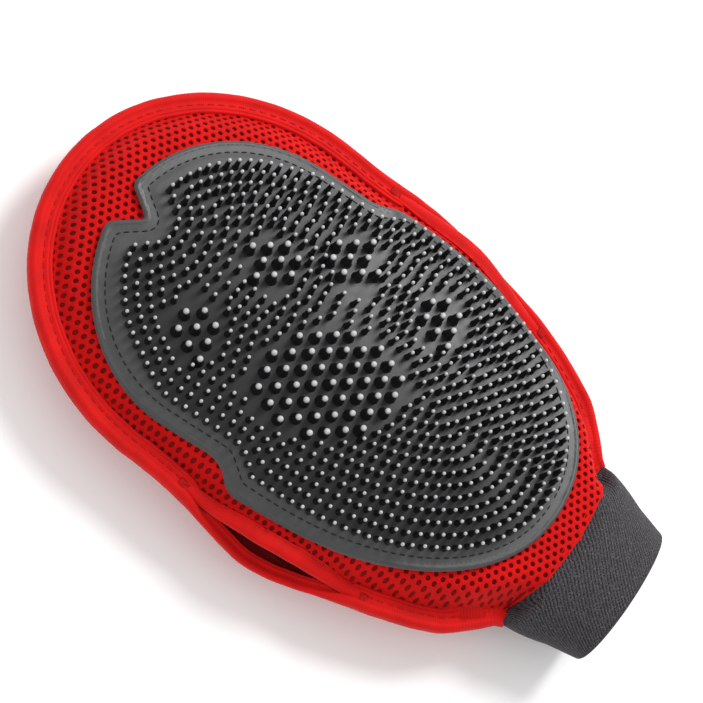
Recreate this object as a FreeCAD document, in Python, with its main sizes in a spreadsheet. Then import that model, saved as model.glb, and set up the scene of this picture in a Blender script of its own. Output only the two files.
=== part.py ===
import FreeCAD, Part
import math
import os
import Sketcher
from FreeCAD import Placement, Rotation, Vector

# Pet grooming mitt, lying on its back with the rubber brush pad facing up.
# Row frame: +Y to the fingertips, +Z out of the pad, +X to the right-hand thumb slot.
# The shapes are worked out from the wrist seam (y = 0) and the side seam's plane (z = 0),
# and each sub-part's Placement then moves it to the row frame.

SIZES = [
    # alias, millimetres (or a plain number), what it is
    ("body_length", 208, "wrist seam to the outer edge at the fingertips"),
    ("finger_half_width", 69, "centre line to the outer edge across the fingers"),
    ("tip_length", 74, "length of the half-elliptic finger end"),
    ("wrist_half_width", 41, "centre line to the outer edge at the wrist seam"),
    ("shoulder_length", 85, "length over which the sides widen from the wrist"),
    ("thumb_bulge", 3.5, "extra half width beside the thumb slots"),
    ("bulge_place", 84, "wrist seam to the widest place"),
    ("bulge_reach", 40, "half the length of the bulge"),
    ("palm_rise", 16, "inside of the palm above the side seam"),
    ("palm_curve", 0.0022, "drop of the palm per square millimetre off the centre line"),
    ("edge_droop", 0.03, "extra drop per square millimetre beyond the droop line"),
    ("droop_line", 52, "centre line to where the extra drop starts"),
    ("finger_slope", 0.09, "drop of the finger part per millimetre towards the tip"),
    ("back_drop", 19, "inside of the back below the side seam"),
    ("wrist_drop", 15, "inside of the back below the side seam at the wrist"),
    ("drop_length", 40, "length over which the back deepens from the wrist"),
    ("back_curve", 0.0015, "rise of the back per square millimetre off the centre line"),
    ("rest_flat", 0.8, "how far the table presses the back flat"),
    ("mesh_thickness", 1.6, "air mesh"),
    ("back_thickness", 1.6, "back fabric"),
    ("binding_width", 8, "edge tape across the seam"),
    ("tape_thickness", 0.7, "edge tape"),
    ("tape_fold", 1.2, "edge tape where it folds round the panel edges"),
    ("slot_tape_width", 6.7, "tape on a thumb slot's edge"),
    ("slot_tape_thickness", 0.5, "tape on a thumb slot's edge"),
    ("slot_start", 44, "wrist seam to the wrist end of the thumb slots"),
    ("slot_end", 108, "wrist seam to the finger end of the thumb slots"),
    ("slot_gape", 10, "height of a thumb slot in its middle"),
    ("seam_gap", 0.6, "gap between the two panels where the tape holds them"),
    ("flex_line", 110, "wrist seam to the line that the fingers bend about"),
    ("flex_gap", 0.3, "gap between the parts on the two sides of a bending line"),
    ("pad_thickness", 1.8, "rubber sheet of the brush pad"),
    ("pad_turn", 3.6, "degrees that the pad is turned on the palm"),
    ("pad_pivot", 97, "wrist seam to the point that the pad is turned about"),
    ("pad_shift", 0.7, "that point to the left of the centre line"),
    ("sheet_gap", 0.3, "gap between a panel and the pad or tape that lies on it"),
    ("seat_gap", 0.1, "least gap round a thread"),
    ("pad_wrist_margin", 6.5, "wrist seam to the pad"),
    ("pad_slot_margin", 12, "outer edge to the pad at its widest place"),
    ("pad_side_margin", 15.5, "outer edge to the pad beside the fingers"),
    ("pad_tip_margin", 22.5, "outer edge to the pad at the fingertips"),
    ("pad_wide_place", 97, "wrist seam to the pad's widest place"),
    ("step_start", 103, "wrist seam to the step in the pad's sides"),
    ("step_end", 112, "wrist seam to the finger end of that step"),
    ("notch_depth", 10, "fingertip notch between the pad's two lobes"),
    ("notch_half_width", 8, "fingertip notch, centre line to a lobe"),
    ("nub_length", 6, "nubs above the rubber sheet"),
    ("fine_base_radius", 0.95, "fine nub at the sheet"),
    ("fine_tip_radius", 0.65, "fine nub at its tip"),
    ("coarse_base_radius", 1.7, "paw-print nub at the sheet"),
    ("coarse_tip_radius", 1.15, "paw-print nub at its tip"),
    ("nub_border", 7.4, "pad's edge to the first row of nubs"),
    ("tip_border", 2.6, "extra border at the finger end"),
    ("tip_border_length", 20, "length over which that extra border grows"),
    ("row_pitch", 4, "rows of fine nubs, apart"),
    ("fine_pitch", 3.5, "fine nubs along a row"),
    ("coarse_pitch", 6, "paw-print nubs, apart"),
    ("stitch_border", 4.3, "pad's edge to its stitching"),
    ("stitch_length", 2.8, "one stitch"),
    ("stitch_pitch", 3.9, "stitches along a seam"),
    ("thread", 0.5, "sewing thread"),
    ("cuff_length", 32, "elastic cuff"),
    ("cuff_spread", 1.5, "how far the cuff reaches out under the edge tape"),
    ("cuff_end_half_width", 27, "outside of the cuff at its free end, across"),
    ("cuff_end_half_height", 15.4, "outside of the cuff at its free end, high"),
    ("cuff_thickness", 1.6, "woven elastic"),
    ("tack_length", 6, "bar tack across the tape"),
    ("tack_width", 1.6, "bar tack along the tape"),
    ("tack_height", 0.6, "bar tack above the tape"),
    ("table_cut", 0.05, "depth that the table flattens quite level"),
]

doc = FreeCAD.newDocument("grooming_mitt")
sheet = doc.addObject("Spreadsheet::Sheet", "sizes")
for number, (alias, value, meaning) in enumerate(SIZES, start=1):
    sheet.set(f"A{number}", alias)
    sheet.set(f"B{number}", str(value))
    sheet.set(f"C{number}", meaning)
    sheet.setAlias(f"B{number}", alias)
doc.recompute()
size = {alias: float(sheet.get(alias)) for alias, value, meaning in SIZES}

# Places that follow from the sizes
ROW_Y = -(size["body_length"] - size["cuff_length"]) / 2
BACK_LOWEST = size["back_drop"] + size["back_thickness"] - size["rest_flat"] - size["table_cut"]
TO_ROW = Placement(Vector(0, ROW_Y, BACK_LOWEST), Rotation())
TIP_CENTRE = size["body_length"] - size["tip_length"]
HEEL_END = size["flex_line"] - size["flex_gap"] / 2
FINGER_START = size["flex_line"] + size["flex_gap"] / 2
HALF_SEAM = size["seam_gap"] / 2
TAPE_ROOM = max(size["mesh_thickness"], size["back_thickness"]) + HALF_SEAM + size["sheet_gap"]
TAPE_TOP = TAPE_ROOM + size["tape_thickness"]
PAD_BASE = HALF_SEAM + size["mesh_thickness"] + size["sheet_gap"]

# How finely the shapes are sampled
GRID_STEP = 2.4          # surface grid
GRID_MARGIN = 9.0        # surface beyond the outline, so that cuts pass right through
OUTLINE_STEPS = 14       # points along one curved stretch of an outline
STRIP_WIDTH = 11.0       # flat strips that make up the arched rubber sheet
TALL = 60.0              # height of cutting solids
FALL_POWER = 12          # how late the panels fall away to the seam
WRIST_FALL_POWER = 4     # the same at the wrist, where the section is rounder
OFFSET_SAMPLE = 0.8      # outline points used to lay out rows
FAN_STEP = 4             # degrees between the directions laid out from one corner
WIDENING_POWER = 0.75    # how soon the sides widen from the wrist
LIFT_START = 0.88        # share of the way to the tape where a slot's lift starts
PAW_REACH = 12           # paw-print grid lines on each side of its middle
ALONG_EDGE = 0.5         # spacing of the points along a seam
ROW_TOLERANCE = 0.05     # how much nearer the outline a row's point may come
CROWDING = 0.8           # least share of the pitch between two fine nubs
HEEL_ROUNDNESS = 2.15    # power of the superellipse at the pad's wrist end

# The paw print of coarse nubs: its middle, its turn from +X, and its pads as
# (along, across, half length, half width) in the print's own directions.
PAW_MIDDLE = (-14.1, 95.1)
PAW_TURN = math.radians(41.6)
PAW_PADS = [
    (0.0, 0.0, 18.5, 28.0),
    (20.5, -42.0, 11.0, 9.5),
    (41.0, -14.5, 11.0, 9.5),
    (41.0, 14.5, 11.0, 9.5),
    (20.5, 42.0, 11.0, 9.5),
]


def smooth_step(share):
    """0 below 0, 1 above 1 and an S between."""
    share = min(max(share, 0.0), 1.0)
    return share * share * (3 - 2 * share)


def level_off(share):
    """A softer S from 0 to 1, without curvature at its ends."""
    return share ** 3 * (share * (6 * share - 15) + 10)


def half_width(y):
    """Centre line to the mitt's outer edge, y from the wrist seam."""
    if y > TIP_CENTRE:
        along = min((y - TIP_CENTRE) / size["tip_length"], 1.0)
        return size["finger_half_width"] * math.sqrt(1 - along * along)
    turn = math.pi / 2 * min(max(y / size["shoulder_length"], 0.0), 1.0)
    widening = size["finger_half_width"] - size["wrist_half_width"]
    width = size["wrist_half_width"] + widening * math.sin(turn) ** WIDENING_POWER
    from_bulge = abs(y - size["bulge_place"]) / size["bulge_reach"]
    if from_bulge < 1:
        width += size["thumb_bulge"] * math.cos(math.pi / 2 * from_bulge) ** 2
    return width


def seam_level(x, y):
    """0 on the centre line, 1 at the tape's inner edge."""
    if y > TIP_CENTRE:
        across = size["finger_half_width"] - size["binding_width"]
        along = size["tip_length"] - size["binding_width"]
        return math.hypot(x / across, (y - TIP_CENTRE) / along)
    return abs(x) / (half_width(y) - size["binding_width"])


def fall(x, y):
    """1 over the hand, 0 at the tape and beyond it."""
    level = min(seam_level(x, y), 1.0)
    share = smooth_step(y / size["drop_length"])
    power = WRIST_FALL_POWER + (FALL_POWER - WRIST_FALL_POWER) * share
    return 1 - level_off(level ** power)


def slot_lift(x, y):
    """How far a thumb slot's edge stands off the side seam's plane."""
    along = (y - size["slot_start"]) / (size["slot_end"] - size["slot_start"])
    if not 0 < along < 1:
        return 0.0
    reach = smooth_step((seam_level(x, y) - LIFT_START) / (1 - LIFT_START))
    return size["slot_gape"] / 2 * math.sin(math.pi * along) ** 2 * reach


def arch(x, y):
    """Inside of the palm over the hand."""
    droop = max(abs(x) - size["droop_line"], 0.0)
    height = size["palm_rise"] - size["palm_curve"] * x * x
    height -= size["edge_droop"] * droop * droop
    return height - size["finger_slope"] * max(y - size["flex_line"], 0.0)


def palm_height(x, y):
    """Inside of the palm mesh, as a height above the side seam's plane."""
    return HALF_SEAM + max(arch(x, y), 0.0) * fall(x, y) + slot_lift(x, y)


def back_height(x, y):
    """Inside of the back panel, as a (negative) height."""
    deepening = smooth_step(y / size["drop_length"])
    depth = size["wrist_drop"] + (size["back_drop"] - size["wrist_drop"]) * deepening
    depth -= size["back_curve"] * x * x
    depth -= size["finger_slope"] * max(y - size["flex_line"], 0.0)
    depth = min(depth, size["back_drop"] - size["rest_flat"])
    return -HALF_SEAM - (max(depth, 0.0) - HALF_SEAM) * fall(x, y) - slot_lift(x, y)


def layer(height, low_y, high_y, offset, thickness):
    """A sheet over the whole mitt between two y, from a height function."""
    reach = size["finger_half_width"] + size["thumb_bulge"] + GRID_MARGIN
    across = 2 * round(reach / GRID_STEP)
    along = round((high_y - low_y + 2 * GRID_MARGIN) / GRID_STEP)
    points = []
    for i in range(across + 1):
        x = reach * (2 * i / across - 1)
        ys = [low_y - GRID_MARGIN + GRID_STEP * j for j in range(along + 1)]
        points.append([Vector(x, y, height(x, y) + offset) for y in ys])
    surface = Part.BSplineSurface()
    surface.interpolate(points)
    return surface.toShape().extrude(Vector(0, 0, thickness))


def spline_edge(points):
    curve = Part.BSplineCurve()
    curve.interpolate(points)
    return curve.toShape()


def side_points(low_y, high_y, inset):
    """Points up the right-hand edge, moved in by inset."""
    steps = [low_y + (high_y - low_y) * k / OUTLINE_STEPS for k in range(OUTLINE_STEPS + 1)]
    return [Vector(half_width(y) - inset, y, 0) for y in steps]


def mirror_x(points):
    return [Vector(-p.x, p.y, p.z) for p in points]


def prism(edges):
    """Closed flat outline, made a tall solid through the side seam's plane."""
    wire = Part.Wire(Part.__sortEdges__(edges))
    low = wire.translated(Vector(0, 0, -TALL / 2))
    return Part.Face(low).extrude(Vector(0, 0, TALL))


def heel_prism(inset, low_y, high_y):
    """Everything inside the edge between two y, both below the finger end."""
    right = side_points(low_y, high_y, inset)
    left = mirror_x(right)
    edges = [spline_edge(right), spline_edge(left)]
    edges.append(Part.LineSegment(left[0], right[0]).toShape())
    edges.append(Part.LineSegment(left[-1], right[-1]).toShape())
    return prism(edges)


def finger_prism(inset, low_y):
    """Everything inside the edge from low_y to the fingertips."""
    right = side_points(low_y, TIP_CENTRE, inset)
    left = mirror_x(right)
    across = size["finger_half_width"] - inset
    along = size["tip_length"] - inset
    middle = Vector(0, TIP_CENTRE, 0)
    major = Vector(0, TIP_CENTRE + along, 0)
    tip = Part.Ellipse(major, Vector(-across, TIP_CENTRE, 0), middle)
    if along < across:
        tip = Part.Ellipse(Vector(across, TIP_CENTRE, 0), major, middle)
    first = tip.parameter(right[-1])
    last = tip.parameter(left[-1])
    if last < first:
        last += 2 * math.pi
    arc = tip.toShape(first, last)
    edges = [spline_edge(right), arc, spline_edge(left)]
    edges.append(Part.LineSegment(left[0], right[0]).toShape())
    return prism(edges)


def strip_prism(side, inner, outer, low_y, high_y):
    """The band between two insets on one side, side +1 right or -1 left."""
    near = side_points(low_y, high_y, inner)
    far = side_points(low_y, high_y, outer)
    if side < 0:
        near = mirror_x(near)
        far = mirror_x(far)
    edges = [spline_edge(near), spline_edge(far)]
    edges.append(Part.LineSegment(near[0], far[0]).toShape())
    edges.append(Part.LineSegment(near[-1], far[-1]).toShape())
    return prism(edges)


def largest(shape):
    """The main solid, without the slivers left where two surfaces almost meet."""
    return max(shape.Solids, key=lambda solid: solid.Volume)


def level_slab(low_z, high_z):
    """Wide flat slab between two heights, for cutting."""
    wide = 4 * size["body_length"]
    return Part.makeBox(wide, wide, high_z - low_z, Vector(-wide / 2, -wide / 2, low_z))


# The brush pad's outline, right half, from the wrist end to the notch

def pad_side():
    return size["finger_half_width"] - size["pad_side_margin"]


def pad_heel_points():
    """The rounded wrist end, from the centre line out to the widest place and the step."""
    across = half_width(size["pad_wide_place"]) - size["pad_slot_margin"]
    along = size["pad_wide_place"] - size["pad_wrist_margin"]
    points = []
    for k in range(2 * OUTLINE_STEPS + 1):
        turn = math.pi / 2 * k / (2 * OUTLINE_STEPS)
        x = across * math.sin(turn) ** (2 / HEEL_ROUNDNESS)
        y = size["pad_wide_place"] - along * math.cos(turn) ** (2 / HEEL_ROUNDNESS)
        points.append(Vector(x, y, 0))
    points.append(Vector(across, size["step_start"], 0))
    return points


def pad_tip_points():
    """The rounded finger end, from the side to the lobe beside the notch."""
    across = pad_side()
    along = size["tip_length"] - size["pad_tip_margin"]
    last = math.acos(size["notch_half_width"] / across)
    points = []
    for k in range(OUTLINE_STEPS + 1):
        turn = last * k / OUTLINE_STEPS
        points.append(Vector(across * math.cos(turn), TIP_CENTRE + along * math.sin(turn), 0))
    return points


def pad_edges():
    """The pad's closed outline as edges."""
    heel = pad_heel_points()
    tip = pad_tip_points()
    step = [heel[-1], Vector(pad_side(), size["step_end"], 0)]
    side = [step[-1], tip[0]]
    notch = [tip[-1], Vector(0, tip[-1].y - size["notch_depth"], 0)]
    edges = [spline_edge([*reversed(mirror_x(heel[1:])), *heel])]
    for run in (step, side, notch):
        edges.append(Part.LineSegment(run[0], run[1]).toShape())
        edges.append(Part.LineSegment(*mirror_x(run)).toShape())
    edges.append(spline_edge(tip))
    edges.append(spline_edge(mirror_x(tip)))
    for edge in edges:
        edge.rotate(Vector(0, size["pad_pivot"], 0), Vector(0, 0, 1), size["pad_turn"])
        edge.translate(Vector(-size["pad_shift"], 0, 0))
    return edges


def outline_samples():
    """Evenly spaced points round the pad, each with its inward direction. A corner that
    points into the pad gets a fan of directions, so that rows run round it."""
    wire = Part.Wire(Part.__sortEdges__(pad_edges()))
    points = wire.discretize(Distance=OFFSET_SAMPLE)[:-1]
    pairs = list(zip(points, [*points[1:], points[0]]))
    turn = 1 if sum(a.x * b.y - b.x * a.y for a, b in pairs) > 0 else -1
    inwards = []
    for before, after in pairs:
        along = (after - before).normalize()
        inwards.append(Vector(-along.y, along.x, 0) * turn)
    samples = []
    for k, point in enumerate(points):
        first = inwards[k - 1]
        last = inwards[k]
        fan = max(1, round(math.degrees(first.getAngle(last)) / FAN_STEP))
        for share in range(fan):
            blend = first * (1 - (share + 0.5) / fan) + last * ((share + 0.5) / fan)
            samples.append((point, blend.normalize()))
    return samples


def inset_row(samples, inset, extra=0.0):
    """The outline moved in by inset, and by extra more at the finger end, without the points
    that come too near another side."""
    row = []
    for point, inward in samples:
        far = inset + extra * smooth_step((point.y - TIP_CENTRE) / size["tip_border_length"])
        moved = point + inward * far
        nearest = min((moved.x - p.x) ** 2 + (moved.y - p.y) ** 2 for p, n in samples)
        if math.sqrt(nearest) > far - ROW_TOLERANCE - extra / OUTLINE_STEPS:
            row.append(moved)
    return row


def in_paw(x, y, margin):
    """Whether a place lies in the paw print, grown by margin."""
    dx = x - PAW_MIDDLE[0]
    dy = y - PAW_MIDDLE[1]
    along = dx * math.cos(PAW_TURN) + dy * math.sin(PAW_TURN)
    across = dx * math.sin(PAW_TURN) - dy * math.cos(PAW_TURN)
    for middle_along, middle_across, half_long, half_wide in PAW_PADS:
        u = (along - middle_along) / (half_long + margin)
        v = (across - middle_across) / (half_wide + margin)
        if u * u + v * v < 1:
            return True
    return False


def fine_places(samples):
    """Fine nubs in rows that follow the pad's outline, none in the paw print."""
    placed = []
    inset = size["nub_border"]
    while True:
        row = inset_row(samples, inset, size["tip_border"])
        if not row:
            return placed
        last = None
        for point in row:
            if last is not None and (point - last).Length < size["fine_pitch"]:
                continue
            crowd = CROWDING * size["fine_pitch"]
            near = any((point - other).Length < crowd for other in placed)
            if near or in_paw(point.x, point.y, size["fine_base_radius"]):
                continue
            placed.append(point)
            last = point
        inset += size["row_pitch"]


def coarse_places():
    """Paw-print nubs on a triangular grid turned with the print."""
    placed = []
    for i in range(-PAW_REACH, PAW_REACH + 1):
        for j in range(-PAW_REACH, PAW_REACH + 1):
            along = size["coarse_pitch"] * i * math.sqrt(3) / 2
            across = size["coarse_pitch"] * (j + 0.5 * (i % 2))
            x = PAW_MIDDLE[0] + along * math.cos(PAW_TURN) + across * math.sin(PAW_TURN)
            y = PAW_MIDDLE[1] + along * math.sin(PAW_TURN) - across * math.cos(PAW_TURN)
            if in_paw(x, y, -size["coarse_base_radius"] / 2):
                placed.append(Vector(x, y, 0))
    return placed


def sheet_normal(x, y):
    """Direction that stands square on the rubber sheet."""
    across = (arch(x + GRID_STEP, y) - arch(x - GRID_STEP, y)) / (2 * GRID_STEP)
    along = -size["finger_slope"] if y > size["flex_line"] else 0.0
    return Vector(-across, -along, 1).normalize()


def brush_pad(low_y, high_y, places_fine, places_coarse):
    """Arched rubber sheet between two y with its nubs, one solid."""
    strips = math.ceil((half_width(size["pad_wide_place"]) + GRID_MARGIN) / STRIP_WIDTH)
    xs = [STRIP_WIDTH * k for k in range(-strips, strips + 1)]
    lower = [Vector(x, low_y, arch(x, low_y) + PAD_BASE) for x in xs]
    upper = [p + Vector(0, 0, size["pad_thickness"]) for p in reversed(lower)]
    profile = Part.makePolygon([*lower, *upper, lower[0]])
    drop = arch(0, high_y) - arch(0, low_y)
    rubber = Part.Face(profile).extrude(Vector(0, high_y - low_y, drop))
    rubber = rubber.common(prism(pad_edges()))
    root = size["pad_thickness"] / 2
    nubs = []
    for places, base, tip in (
        (places_fine, size["fine_base_radius"], size["fine_tip_radius"]),
        (places_coarse, size["coarse_base_radius"], size["coarse_tip_radius"]),
    ):
        for p in places:
            if not low_y + base < p.y < high_y - base:
                continue
            normal = sheet_normal(p.x, p.y)
            foot = Vector(p.x, p.y, arch(p.x, p.y) + PAD_BASE + root)
            nubs.append(Part.makeCone(base, tip, size["nub_length"] + root, foot, normal))
    return rubber.fuse(nubs)


def stitches(path, height, facing):
    """Straight stitches along a path, on the upper (+1) or lower (-1) side of a surface."""
    solids = []
    travelled = 0.0
    wide = size["thread"]
    long = size["stitch_length"]
    low = size["seat_gap"] * 2 if facing > 0 else -size["seat_gap"] * 2 - wide
    for before, here in zip(path, path[1:]):
        travelled += (here - before).Length
        if travelled < size["stitch_pitch"]:
            continue
        travelled = 0.0
        start = Vector(before.x, before.y, height(before.x, before.y))
        end = Vector(here.x, here.y, height(here.x, here.y))
        stitch = Part.makeBox(long, wide, wide, Vector(-long / 2, -wide / 2, low))
        stitch.Placement = Placement(end, Rotation(Vector(1, 0, 0), (end - start).normalize()))
        solids.append(stitch)
    return solids


def add_shape(name, shape):
    """A sub-part whose shape comes from the formulas above."""
    part = doc.addObject("Part::Feature", name)
    part.Label = name
    part.Shape = shape
    part.Placement = TO_ROW
    return part


def add_bar_tack(name, side, y):
    """Thread bar across the tape: a padded sketch with its sizes on the sheet."""
    body = doc.addObject("PartDesign::Body", name)
    body.Label = name
    sketch = body.newObject("Sketcher::SketchObject", name + "_sketch")
    flat = [o for o in body.Origin.OriginFeatures if o.Role == "XY_Plane"][0]
    sketch.AttachmentSupport = (flat, [""])
    sketch.MapMode = "FlatFace"
    long = size["tack_length"]
    wide = size["tack_width"]
    corners = [Vector(0, 0, 0), Vector(long, 0, 0), Vector(long, wide, 0), Vector(0, wide, 0)]
    for k in range(4):
        sketch.addGeometry(Part.LineSegment(corners[k], corners[(k + 1) % 4]), False)
    for k in range(4):
        sketch.addConstraint(Sketcher.Constraint("Coincident", k, 2, (k + 1) % 4, 1))
    for k, kind in enumerate(("Horizontal", "Vertical", "Horizontal", "Vertical")):
        sketch.addConstraint(Sketcher.Constraint(kind, k))
    sketch.addConstraint(Sketcher.Constraint("Symmetric", 0, 1, 1, 2, -1, 1))
    length = sketch.addConstraint(Sketcher.Constraint("DistanceX", 0, 1, 0, 2, long))
    width = sketch.addConstraint(Sketcher.Constraint("DistanceY", 1, 1, 1, 2, wide))
    sketch.setExpression(f"Constraints[{length}]", "<<sizes>>.tack_length")
    sketch.setExpression(f"Constraints[{width}]", "<<sizes>>.tack_width")
    pad = body.newObject("PartDesign::Pad", name + "_pad")
    pad.Profile = sketch
    pad.setExpression("Length", "<<sizes>>.tack_height")
    x = side * (half_width(y) - size["binding_width"] / 2)
    body.Placement = TO_ROW.multiply(Placement(Vector(x, y, TAPE_TOP), Rotation()))
    return body


# The cuff's wrist ring fits the panels' outside, and its middle is halfway between them
CUFF_WIDE = "(<<sizes>>.wrist_half_width - <<sizes>>.binding_width + <<sizes>>.cuff_spread)"
CUFF_HIGH = (
    "((<<sizes>>.palm_rise + <<sizes>>.mesh_thickness"
    " + <<sizes>>.wrist_drop + <<sizes>>.back_thickness + <<sizes>>.seam_gap / 2) / 2)"
)
CUFF_CENTRE = (
    "((<<sizes>>.palm_rise + <<sizes>>.mesh_thickness + <<sizes>>.seam_gap / 2"
    " - <<sizes>>.wrist_drop - <<sizes>>.back_thickness) / 2)"
)


def cuff_ring(name, half_wide, half_high, inset, y_formula):
    """One elliptic ring of the cuff, its radii and its place from formulas on the sheet."""
    ring = doc.addObject("Part::Ellipse", name)
    wall = f" - {inset} * <<sizes>>.cuff_thickness"
    ring.setExpression("MajorRadius", half_wide + wall)
    ring.setExpression("MinorRadius", half_high + wall)
    ring.Placement = Placement(Vector(0, 0, 0), Rotation(Vector(1, 0, 0), 90))
    ring.setExpression("Placement.Base.y", f"{y_formula} + ({ROW_Y})")
    ring.setExpression("Placement.Base.z", f"{CUFF_CENTRE} + {BACK_LOWEST}")
    return ring


def cuff_shell(name, inset):
    """Solid between the wrist ring and the end ring."""
    end_wide = "<<sizes>>.cuff_end_half_width"
    end_high = "<<sizes>>.cuff_end_half_height"
    wrist = cuff_ring(name + "_wrist", CUFF_WIDE, CUFF_HIGH, inset, "-<<sizes>>.flex_gap")
    end = cuff_ring(name + "_end", end_wide, end_high, inset, "-<<sizes>>.cuff_length")
    loft = doc.addObject("Part::Loft", name)
    loft.Sections = [wrist, end]
    loft.Solid = True
    loft.Ruled = True
    return loft


# Panels: each is a sheet between two height functions, cut to its outline

MESH = size["mesh_thickness"]
BACK = size["back_thickness"]
TAPE = size["slot_tape_thickness"]
EDGE_IN = size["tape_fold"]
GAP = size["flex_gap"]

palm_heel_layer = layer(palm_height, 0, HEEL_END, 0, MESH)
palm_finger_layer = layer(palm_height, FINGER_START, size["body_length"], 0, MESH)
back_heel_layer = layer(back_height, 0, HEEL_END, -BACK, BACK)
back_finger_layer = layer(back_height, FINGER_START, size["body_length"], -BACK, BACK)

heel_panel = heel_prism(EDGE_IN, 0, HEEL_END)
finger_panel = finger_prism(EDGE_IN, FINGER_START)
add_shape("palm_mesh_heel", palm_heel_layer.common(heel_panel))
add_shape("palm_mesh_fingers", palm_finger_layer.common(finger_panel))
above_table = level_slab(-BACK_LOWEST, TALL)
add_shape("back_panel_heel", back_heel_layer.common(above_table).common(heel_panel))
add_shape("back_panel_fingers", back_finger_layer.common(above_table).common(finger_panel))

# The moulded brush pad and its nubs
samples = outline_samples()
fine = fine_places(samples)
coarse = coarse_places()
add_shape("brush_pad_heel", brush_pad(0, HEEL_END, fine, coarse))
add_shape("brush_pad_fingers", brush_pad(FINGER_START, size["body_length"], fine, coarse))
print("fine nubs", len(fine), "paw-print nubs", len(coarse))

# Edge tape folded round both panels: a closed band less the room for the panel edges
band = level_slab(-TAPE_TOP, TAPE_TOP)
room = level_slab(-TAPE_ROOM, TAPE_ROOM)
inner_edge = finger_prism(size["binding_width"], FINGER_START - GAP)
finger_band = finger_prism(0, FINGER_START).cut(inner_edge)
add_shape("edge_binding", finger_band.common(band).cut(finger_panel.common(room)))
side_end = size["slot_start"] - GAP

sides = (("left", -1), ("right", 1))
for side_name, side in sides:
    side_band = strip_prism(side, size["binding_width"], 0, 0, side_end)
    side_room = strip_prism(side, size["binding_width"], EDGE_IN, 0, side_end)
    add_shape("side_binding_" + side_name, side_band.common(band).cut(side_room.common(room)))

# Tape round each edge of the thumb slots, open towards the panel
play = size["seat_gap"] / 2
fold_thickness = MESH + 2 * TAPE
palm_tape_layer = layer(palm_height, size["slot_start"], HEEL_END, -TAPE, fold_thickness)
palm_room_layer = layer(palm_height, size["slot_start"], HEEL_END, -play, MESH + 2 * play)
back_tape_layer = layer(back_height, size["slot_start"], HEEL_END, -BACK - TAPE, fold_thickness)
back_room_layer = layer(back_height, size["slot_start"], HEEL_END, -BACK - play, BACK + 2 * play)
upper_half = level_slab(play, TALL)
lower_half = level_slab(-TALL, -play)
for side_name, side in sides:
    tape = strip_prism(side, size["slot_tape_width"], 0, size["slot_start"], HEEL_END)
    wider = size["slot_tape_width"] + EDGE_IN
    inside = strip_prism(side, wider, EDGE_IN, size["slot_start"] - EDGE_IN, HEEL_END)
    palm_tape = palm_tape_layer.common(tape).common(upper_half).cut(palm_room_layer.common(inside))
    back_tape = back_tape_layer.common(tape).common(lower_half).cut(back_room_layer.common(inside))
    add_shape(f"slot_binding_{side_name}_palm", largest(palm_tape))
    add_shape(f"slot_binding_{side_name}_back", largest(back_tape))

# Sewing: on the pad, round the tape, along the slots and at the wrist
STITCH_LINE = size["binding_width"] - size["tack_width"]
SLOT_LINE = size["slot_tape_width"] - size["tack_width"]


def pad_top(x, y):
    return arch(x, y) + PAD_BASE + size["pad_thickness"]


def tape_top(x, y):
    return TAPE_TOP


def tape_bottom(x, y):
    return -TAPE_TOP


def slot_top(x, y):
    return palm_height(x, y) + MESH + TAPE


def slot_bottom(x, y):
    return back_height(x, y) - BACK - TAPE


def mesh_top(x, y):
    return palm_height(x, y) + MESH


def back_bottom(x, y):
    return back_height(x, y) - BACK


def edge_path(side, inset, low_y, high_y):
    """Fine points up one side's edge."""
    count = int((high_y - low_y) / ALONG_EDGE)
    ys = [low_y + ALONG_EDGE * k for k in range(count)]
    return [Vector(side * (half_width(y) - inset), y, 0) for y in ys]


def tip_path(inset):
    """Fine points round the finger end."""
    across = size["finger_half_width"] - inset
    along = size["tip_length"] - inset
    count = int(math.pi * size["tip_length"] / ALONG_EDGE)
    turns = [math.pi * k / count for k in range(count + 1)]
    return [
        Vector(across * math.cos(turn), TIP_CENTRE + along * math.sin(turn), 0)
        for turn in turns
    ]


def wrist_path():
    """Fine points across the wrist seam, one thread in from the edge."""
    reach = half_width(0) - size["binding_width"] - size["stitch_length"]
    count = int(2 * reach / ALONG_EDGE)
    return [Vector(-reach + ALONG_EDGE * k, size["stitch_length"], 0) for k in range(count + 1)]


pad_row = inset_row(samples, size["stitch_border"])
heel_row = [p for p in pad_row if p.y < HEEL_END - size["stitch_length"]]
finger_row = [p for p in pad_row if p.y > FINGER_START + size["stitch_length"]]
add_shape("pad_stitching_heel", Part.makeCompound(stitches(heel_row, pad_top, 1)))
add_shape("pad_stitching_fingers", Part.makeCompound(stitches(finger_row, pad_top, 1)))

right_run = edge_path(1, STITCH_LINE, FINGER_START + size["stitch_length"], TIP_CENTRE)
left_run = list(reversed(mirror_x(right_run)))
edge_run = [*right_run, *tip_path(STITCH_LINE), *left_run]
edge_sewing = stitches(edge_run, tape_top, 1) + stitches(edge_run, tape_bottom, -1)
add_shape("edge_stitching", Part.makeCompound(edge_sewing))
for side_name, side in sides:
    last = side_end - 2 * size["tack_width"] - size["stitch_length"] / 2
    run = edge_path(side, STITCH_LINE, size["stitch_length"], last)
    sewing = stitches(run, tape_top, 1) + stitches(run, tape_bottom, -1)
    add_shape("side_stitching_" + side_name, Part.makeCompound(sewing))
    run = edge_path(side, SLOT_LINE, size["slot_start"] + size["stitch_length"], HEEL_END)
    palm_sewing = stitches(run, slot_top, 1)
    back_sewing = stitches(run, slot_bottom, -1)
    add_shape(f"slot_stitching_{side_name}_palm", Part.makeCompound(palm_sewing))
    add_shape(f"slot_stitching_{side_name}_back", Part.makeCompound(back_sewing))
    add_bar_tack(f"bar_tack_{side_name}_wrist", side, side_end - size["tack_width"])
    add_bar_tack(f"bar_tack_{side_name}_finger", side, FINGER_START + size["tack_width"])
wrist_run = wrist_path()
wrist_sewing = stitches(wrist_run, mesh_top, 1) + stitches(wrist_run, back_bottom, -1)
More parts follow.
